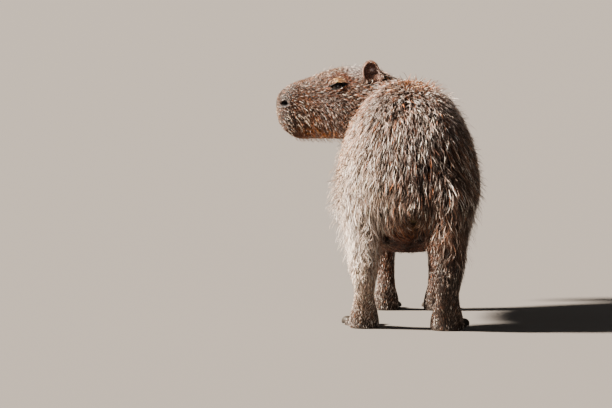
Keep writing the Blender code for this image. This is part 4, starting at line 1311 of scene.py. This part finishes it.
def coat_tufts(skin, tree):
    """All the tufts of the coat, in pieces by region of the body."""
    rng = np.random.default_rng(COAT_SEED)
    pieces = [[] for _ in range(COAT_PIECES)]
    for layer in LAYERS:
        levels, facts, rings = grown_layer(tree, skin, layer, rng)
        numbers = piece_of(facts["unwrap"])
        for number in range(COAT_PIECES):
            chosen = numbers == number
            if not chosen.any():
                continue
            part = [[values[chosen] for values in level] for level in levels]
            picked = {key: values[chosen] for key, values in facts.items()}
            pieces[number].append(tufts_mesh("tufts", part, picked, rings))
    return [join(f"coat_{number}", parts) for number, parts in enumerate(pieces, 1)]


# Materials

# The mix node's colour sockets, which share their names with others
FIRST_COLOUR = 6
SECOND_COLOUR = 7
MIXED_COLOUR = 2


def add(tree, kind, links=(), stops=(), **settings):
    """Adds one node, sets its fields and sockets by name, links its inputs and places its colour stops."""
    node = tree.nodes.new(kind)
    for name, value in settings.items():
        if hasattr(node, name):
            setattr(node, name, value)
        else:
            node.inputs[name.replace("_", " ")].default_value = value
    for socket, source in links:
        tree.links.new(source, node.inputs[socket])
    for place, hex_colour in stops[1:-1]:
        node.color_ramp.elements.new(place)
    for element, (place, hex_colour) in zip(node.color_ramp.elements if stops else (), stops):
        element.position = place
        element.color = linear(hex_colour)
    return node


def new_material(name, **sockets):
    """A material whose Principled shader has these values. Returns it, its tree and the shader."""
    made = bpy.data.materials.new(name)
    made.use_nodes = True
    shader = made.node_tree.nodes["Principled BSDF"]
    for socket, value in sockets.items():
        shader.inputs[socket.replace("_", " ")].default_value = value
    return made, made.node_tree, shader


def per_metre(millimetres):
    """A pattern's scale from its real width."""
    return 1000 / millimetres


def coat_hair():
    """Coarse guard hair, dry: dark at the root, partly its own banding and partly painted shade deep in the
    coat, and pale at the tip, with a soft gleam along its length.
    """
    made, tree, shader = new_material("coarse_guard_hair", Roughness=0.40, IOR=1.55,
                                      Specular_IOR_Level=0.35)
    marking = add(tree, "ShaderNodeAttribute", attribute_name="marking")
    along = add(tree, "ShaderNodeAttribute", attribute_name="along")
    # darker towards the root: partly the hair's own banding, partly painted shade deep in the coat
    root_banding_and_shade = add(tree, "ShaderNodeValToRGB", [("Fac", along.outputs["Fac"])],
                 [(0.0, "#3f3835"), (0.32, "#8e8179"), (0.62, "#e7e2dd"), (1.0, "#fffdfa")])
    shaded = add(tree, "ShaderNodeMix", data_type="RGBA", blend_type="MULTIPLY", Factor=1.0,
                 links=[(FIRST_COLOUR, marking.outputs["Color"]), (SECOND_COLOUR, root_banding_and_shade.outputs["Color"])])
    paler = add(tree, "ShaderNodeAttribute", attribute_name="paling")
    paling = add(tree, "ShaderNodeMapRange", [("Value", paler.outputs["Fac"])], From_Min=0.38, To_Max=0.95)
    tipped = add(tree, "ShaderNodeMix", data_type="RGBA",
                 links=[("Factor", paling.outputs["Result"]), (FIRST_COLOUR, shaded.outputs[MIXED_COLOUR])])
    tipped.inputs[SECOND_COLOUR].default_value = linear("#f8e9e2")
    tree.links.new(tipped.outputs[MIXED_COLOUR], shader.inputs["Base Color"])
    return made


def hide():
    """Skin under the coat and bare on nose, lips and lids: matt, finely wrinkled, grey-brown."""
    made, tree, shader = new_material("capybara_hide", Roughness=0.72, Specular_IOR_Level=0.25)
    marking = add(tree, "ShaderNodeAttribute", attribute_name="marking")
    bare = add(tree, "ShaderNodeAttribute", attribute_name="bare")
    tint = add(tree, "ShaderNodeAttribute", attribute_name="hide")
    under_coat = add(tree, "ShaderNodeMix", data_type="RGBA", blend_type="MULTIPLY", Factor=1.0,
                     links=[(FIRST_COLOUR, marking.outputs["Color"])])
    under_coat.inputs[SECOND_COLOUR].default_value = linear("#867c76")
    mixed = add(tree, "ShaderNodeMix", data_type="RGBA",
                links=[("Factor", bare.outputs["Fac"]), (FIRST_COLOUR, under_coat.outputs[MIXED_COLOUR]),
                       (SECOND_COLOUR, tint.outputs["Color"])])
    tree.links.new(mixed.outputs[MIXED_COLOUR], shader.inputs["Base Color"])
    coordinates = add(tree, "ShaderNodeTexCoord")
    wrinkles = add(tree, "ShaderNodeTexVoronoi", [("Vector", coordinates.outputs["Object"])],
                   feature="DISTANCE_TO_EDGE", Scale=per_metre(HIDE_WRINKLE))
    bump = add(tree, "ShaderNodeBump", [("Height", wrinkles.outputs["Distance"])],
               Strength=0.5, Distance=0.0006)
    tree.links.new(bump.outputs["Normal"], shader.inputs["Normal"])
    return made


def wet_eye():
    """The eye's wet front over a dark brown iris and a black pupil: nearly black, with a sharp gleam."""
    made, tree, shader = new_material("wet_eye", Roughness=0.05, IOR=1.38)
    depth = add(tree, "ShaderNodeAttribute", attribute_name="iris")
    rings = add(tree, "ShaderNodeValToRGB", [("Fac", depth.outputs["Fac"])],
                [(0.34, "#020202"), (0.42, "#0d0704"), (0.80, "#080503"), (1.0, "#060403")])
    tree.links.new(rings.outputs["Color"], shader.inputs["Base Color"])
    return made


def whisker_bristle():
    """A stiff bristle, pale and a little shiny."""
    made, tree, shader = new_material("whisker_bristle", Roughness=0.35, IOR=1.55)
    coordinates = add(tree, "ShaderNodeTexCoord")
    tones = add(tree, "ShaderNodeTexNoise", [("Vector", coordinates.outputs["Object"])],
                Scale=per_metre(BRISTLE_TONE))
    colours = add(tree, "ShaderNodeValToRGB", [("Fac", tones.outputs["Fac"])],
                  [(0.0, "#8d7a66"), (1.0, "#d9cab8")])
    tree.links.new(colours.outputs["Color"], shader.inputs["Base Color"])
    return made


def claw_keratin():
    """Worn claw horn: dark grey-brown, mottled by its growth, matt with little shine."""
    made, tree, shader = new_material("claw_keratin", Roughness=0.62, IOR=1.56, Specular_IOR_Level=0.20)
    coordinates = add(tree, "ShaderNodeTexCoord")
    grain = add(tree, "ShaderNodeTexNoise", [("Vector", coordinates.outputs["Object"])],
                Scale=per_metre(HORN_MOTTLE), Detail=4.0)
    colours = add(tree, "ShaderNodeValToRGB", [("Fac", grain.outputs["Fac"])],
                  [(0.0, "#0d0b09"), (1.0, "#2a231c")])
    tree.links.new(colours.outputs["Color"], shader.inputs["Base Color"])
    bump = add(tree, "ShaderNodeBump", [("Height", grain.outputs["Fac"])], Strength=0.4, Distance=0.0004)
    tree.links.new(bump.outputs["Normal"], shader.inputs["Normal"])
    return made


def studio_paper():
    """Matt paper on the floor. Its base is a mid grey, which the strong key shows pale."""
    return new_material("studio_paper", Base_Color=linear("#524f4d"), Roughness=0.9)[0]


# Eyes, whiskers, claws and finishing


def eye_ball(which, side):
    """The eyeball with a raised cornea, turned out from the head."""
    bm = bmesh.new()
    bmesh.ops.create_uvsphere(bm, u_segments=48, v_segments=32, radius=1.0)
    centre = on_head(EYE, side) - UP * EYE_DROP
    out = Vector((0.10, side, 0.02)).normalized()
    iris = []
    for vertex in bm.verts:
        share = math.acos(max(-1, min(1, vertex.co.normalized().dot(out)))) / math.radians(IRIS_EDGE)
        iris.append(min(share, 1.0))
        bulge = 1 + CORNEA_RISE * math.exp(-(share / 0.75) ** 4)
        vertex.co = centre + vertex.co * EYE_RADIUS * bulge
    mesh = mesh_from_bmesh(f"eyeball_{which}", bm)
    store(mesh, "iris", np.array(iris))
    return object_from(f"eyeball_{which}", mesh)


def whiskers(tree):
    """Stiff pale bristles on both sides of the muzzle, swept back and drooping at their ends."""
    rng = np.random.default_rng(WHISKER_SEED)
    radii = [WHISKER_RADIUS * share for share in np.linspace(1, 0.2, WHISKER_STEPS + 1)]
    made = []
    for side in SIDES.values():
        for _ in range(WHISKERS_PER_SIDE):
            height = rng.uniform(0.435, 0.478)
            inner = Vector((rng.uniform(0.245, 0.298), HEAD_PLANE_Y, height))
            points = [tree.ray_cast(inner, Vector((0, side, 0)))[0] - Vector((0, side * 0.001, 0))]
            back, out, down = rng.uniform(-1.1, -0.4), side * rng.uniform(0.35, 0.7), rng.uniform(-0.6, 0.0)
            heading = Vector((back, out, down))
            step = rng.uniform(0.026, 0.052) / WHISKER_STEPS
            for _ in range(WHISKER_STEPS):
                heading = (heading.normalized() - UP * WHISKER_DROOP).normalized()
                points.append(points[-1] + heading * step)
            made.append(tube("whisker", points, radii, 5))
    return join("whiskers", made)


def claw(name, root, heading, length, radius):
    """A blunt hoof-like nail that runs back into its toe."""
    rings = []
    for share, width, height in through_stations(CLAW_SHARES, 4):
        rise = CLAW_FLOOR_RISE + radius * height
        centre = root + heading * (length + CLAW_LENGTH * share) + UP * rise
        rings.append(ring(centre, heading.cross(UP), UP,
                          radius * width, radius * height, radius * height * 0.9, 2.3, sides=20))
    return loft(name, rings)


def finished(obj, material, slot, *nodes):
    """Puts a piece in the frame of the solids, gives it its material and smooth shading, ties it to the
    root and hides the solids it stands for.
    """
    obj.data.transform(Matrix.Translation(SHIFT))
    obj.data.materials.clear()
    obj.data.materials.append(material)
    obj.data.polygons.foreach_set("use_smooth", np.ones(len(obj.data.polygons), bool))
    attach(obj, "root")
    if nodes:
        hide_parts(*nodes)
    return obj


def middle_of(node):
    """The middle of a solid's box."""
    low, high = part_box(node)
    return (Vector(low) + Vector(high)) / 2


# From the stations' own coordinates to the solids' frame
SHIFT = middle_of("eye_left") - on_head(EYE, 1)


def ear_shades(points):
    """The shares of the ear's colours: its cup, the hollow, a painted highlight in it and its rim."""
    across, along, _ = ear_shares(points)
    ear = on_ear(points)
    concha = np.exp(-((across - 0.28) / 0.46) ** 2 - ((along - 0.34) / 0.26) ** 2)
    # painted highlight in the ear's hollow
    gleam = np.exp(-((across - 0.18) / 0.22) ** 2 - ((along - 0.66) / 0.05) ** 2)
    rim = eased(np.hypot(across / ear_rounding(along), 0.55 * eased(along, 0.6, 1.0)), 0.72, 0.94)
    rim *= 1 - 0.6 * eased(across, 0.1, 0.6) * (1 - eased(along, 0.80, 0.95))
    return {"cup": ear, "concha": 0.8 * ear * concha, "gleam": 0.8 * ear * gleam,
            "rim": ear * rim * (0.35 + 0.6 * eased(along, 0.35, 0.70))}


def hide_colours(points):
    """The bare skin's colour at each point, with painted highlights under the nostrils and in the ears and
    painted shade in the nostrils and the lids' pocket.
    """
    out = out_from_head(points)
    colours = np.tile(linear(HIDE_COLOURS["nose"])[:3], (len(points), 1))
    shares = {
        "rump": eased(points[:, 1], 0.2, 0.3),
        "sole": 1 - eased(points[:, 2], 0.004, 0.01),
        # painted highlight: a paler rim under each nostril
        "painted nostril highlight": 0.9 * near(out, NOSTRIL - Vector((0.002, 0, 0.0070)), (0.0070, 0.02, 0.0026)),
        # painted shade: near black in the nostrils' hollows
        "nostril": 1.8 * near(out, NOSTRIL, (0.0088, 0.02, 0.0058)),
        # dark lids' rims, and painted shade in the pocket at the slit's corners
        "lid": 1 - eased(slit_distance(points, 1.15), 0.002, 0.006),
        **ear_shades(points),
    }
    for name, share in shares.items():
        colours = painted(colours, HIDE_COLOURS[name], share)
    return colours


def dress_skin(skin):
    """Gives the skin its colours and lets it stand for every node of flesh."""
    points = places_of(skin.data)
    store_colour(skin.data, "marking", markings(points))
    store_colour(skin.data, "hide", hide_colours(points))
    store(skin.data, "bare", bare_share(points))
    flesh = ["torso", "neck", "head", "ear_left", "ear_right"]
    for which in SIDES:
        flesh.extend(f"{part}_{which}" for part in ("foreleg", "hindleg", "forefoot", "hindfoot"))
    finished(skin, hide(), "coat", *flesh)


def claws():
    """The nails of all four feet, each in its own node's place."""
    horn = claw_keratin()
    for name, leg in LEGS.items():
        kind = "fore" if name.startswith("fore") else "hind"
        which = name.split("_")[1]
        for number, toe in enumerate(toes_of(leg), 1):
            nail = claw(f"nail_{kind}_{which}_{number}", *toe)
            finished(nail, horn, "claw", f"{kind}claw_{which}_{number}")


# The stage


def floor():
    """A wide sheet of paper, level with the soles."""
    bm = bmesh.new()
    bmesh.ops.create_grid(bm, x_segments=1, y_segments=1, size=FLOOR_REACH)
    obj = object_from("studio_floor", mesh_from_bmesh("studio_floor", bm))
    obj.data.materials.append(studio_paper())


def soft_light(name, direction, strength, spread, colour):
    """A distant lamp from the direction, with a soft edge to its shadows."""
    light = bpy.data.lights.new(name, "SUN")
    light.energy = strength
    light.angle = math.radians(spread)
    light.color = linear(colour)[:3]
    obj = bpy.data.objects.new(name, light)
    bpy.context.scene.collection.objects.link(obj)
    obj.rotation_euler = Vector(direction).to_track_quat("Z", "Y").to_euler()


def studio_light():
    """A warm key from the animal's left, a weak fill from behind the camera and soft light all round."""
    for name, lamp in LAMPS.items():
        soft_light(name, *lamp)
    world = bpy.data.worlds.new("studio")
    bpy.context.scene.world = world
    world.use_nodes = True
    background = world.node_tree.nodes["Background"]
    background.inputs["Color"].default_value = linear(SURROUND_COLOUR)
    background.inputs["Strength"].default_value = SURROUND_STRENGTH


def camera():
    """A long lens behind the animal, a little above its back, framed as in the photograph."""
    elevation = math.radians(CAMERA_ELEVATION)
    back = Vector((0, math.cos(elevation), math.sin(elevation)))
    up = Vector((0, -math.sin(elevation), math.cos(elevation)))
    across = (BODY_MIDLINE_PIXEL - IMAGE_WIDTH / 2) / PIXELS_PER_METRE
    level = HIND_LEG_MARK.dot(up) + (HIND_LEG_MARK_PIXEL - IMAGE_HEIGHT / 2) / PIXELS_PER_METRE
    aim = Vector((across, AIM_Y, (level - AIM_Y * up.y) / up.z)) + SHIFT
    data = bpy.data.cameras.new("camera")
    data.sensor_width = SENSOR_WIDTH
    data.lens = PIXELS_PER_METRE * CAMERA_DISTANCE / IMAGE_WIDTH * SENSOR_WIDTH
    obj = bpy.data.objects.new("camera", data)
    bpy.context.scene.collection.objects.link(obj)
    obj.location = aim + back * CAMERA_DISTANCE
    obj.rotation_euler = (-back).to_track_quat("-Z", "Y").to_euler()
    bpy.context.scene.camera = obj


def build():
    """Sets the stage, then makes, places and finishes every piece."""
    camera()
    floor()
    studio_light()
    skin = body_skin()
    tree = BVHTree.FromPolygons([Vector(place) for place in places_of(skin.data)],
                                [tuple(face.vertices) for face in skin.data.polygons])
    hair = coat_hair()
    for piece in coat_tufts(skin, tree):
        finished(piece, hair, "coat")
    finished(whiskers(tree), whisker_bristle(), "coat")
    dress_skin(skin)
    eye = wet_eye()
    for which, side in SIDES.items():
        finished(eye_ball(which, side), eye, "eye", f"eye_{which}")
    claws()


build()
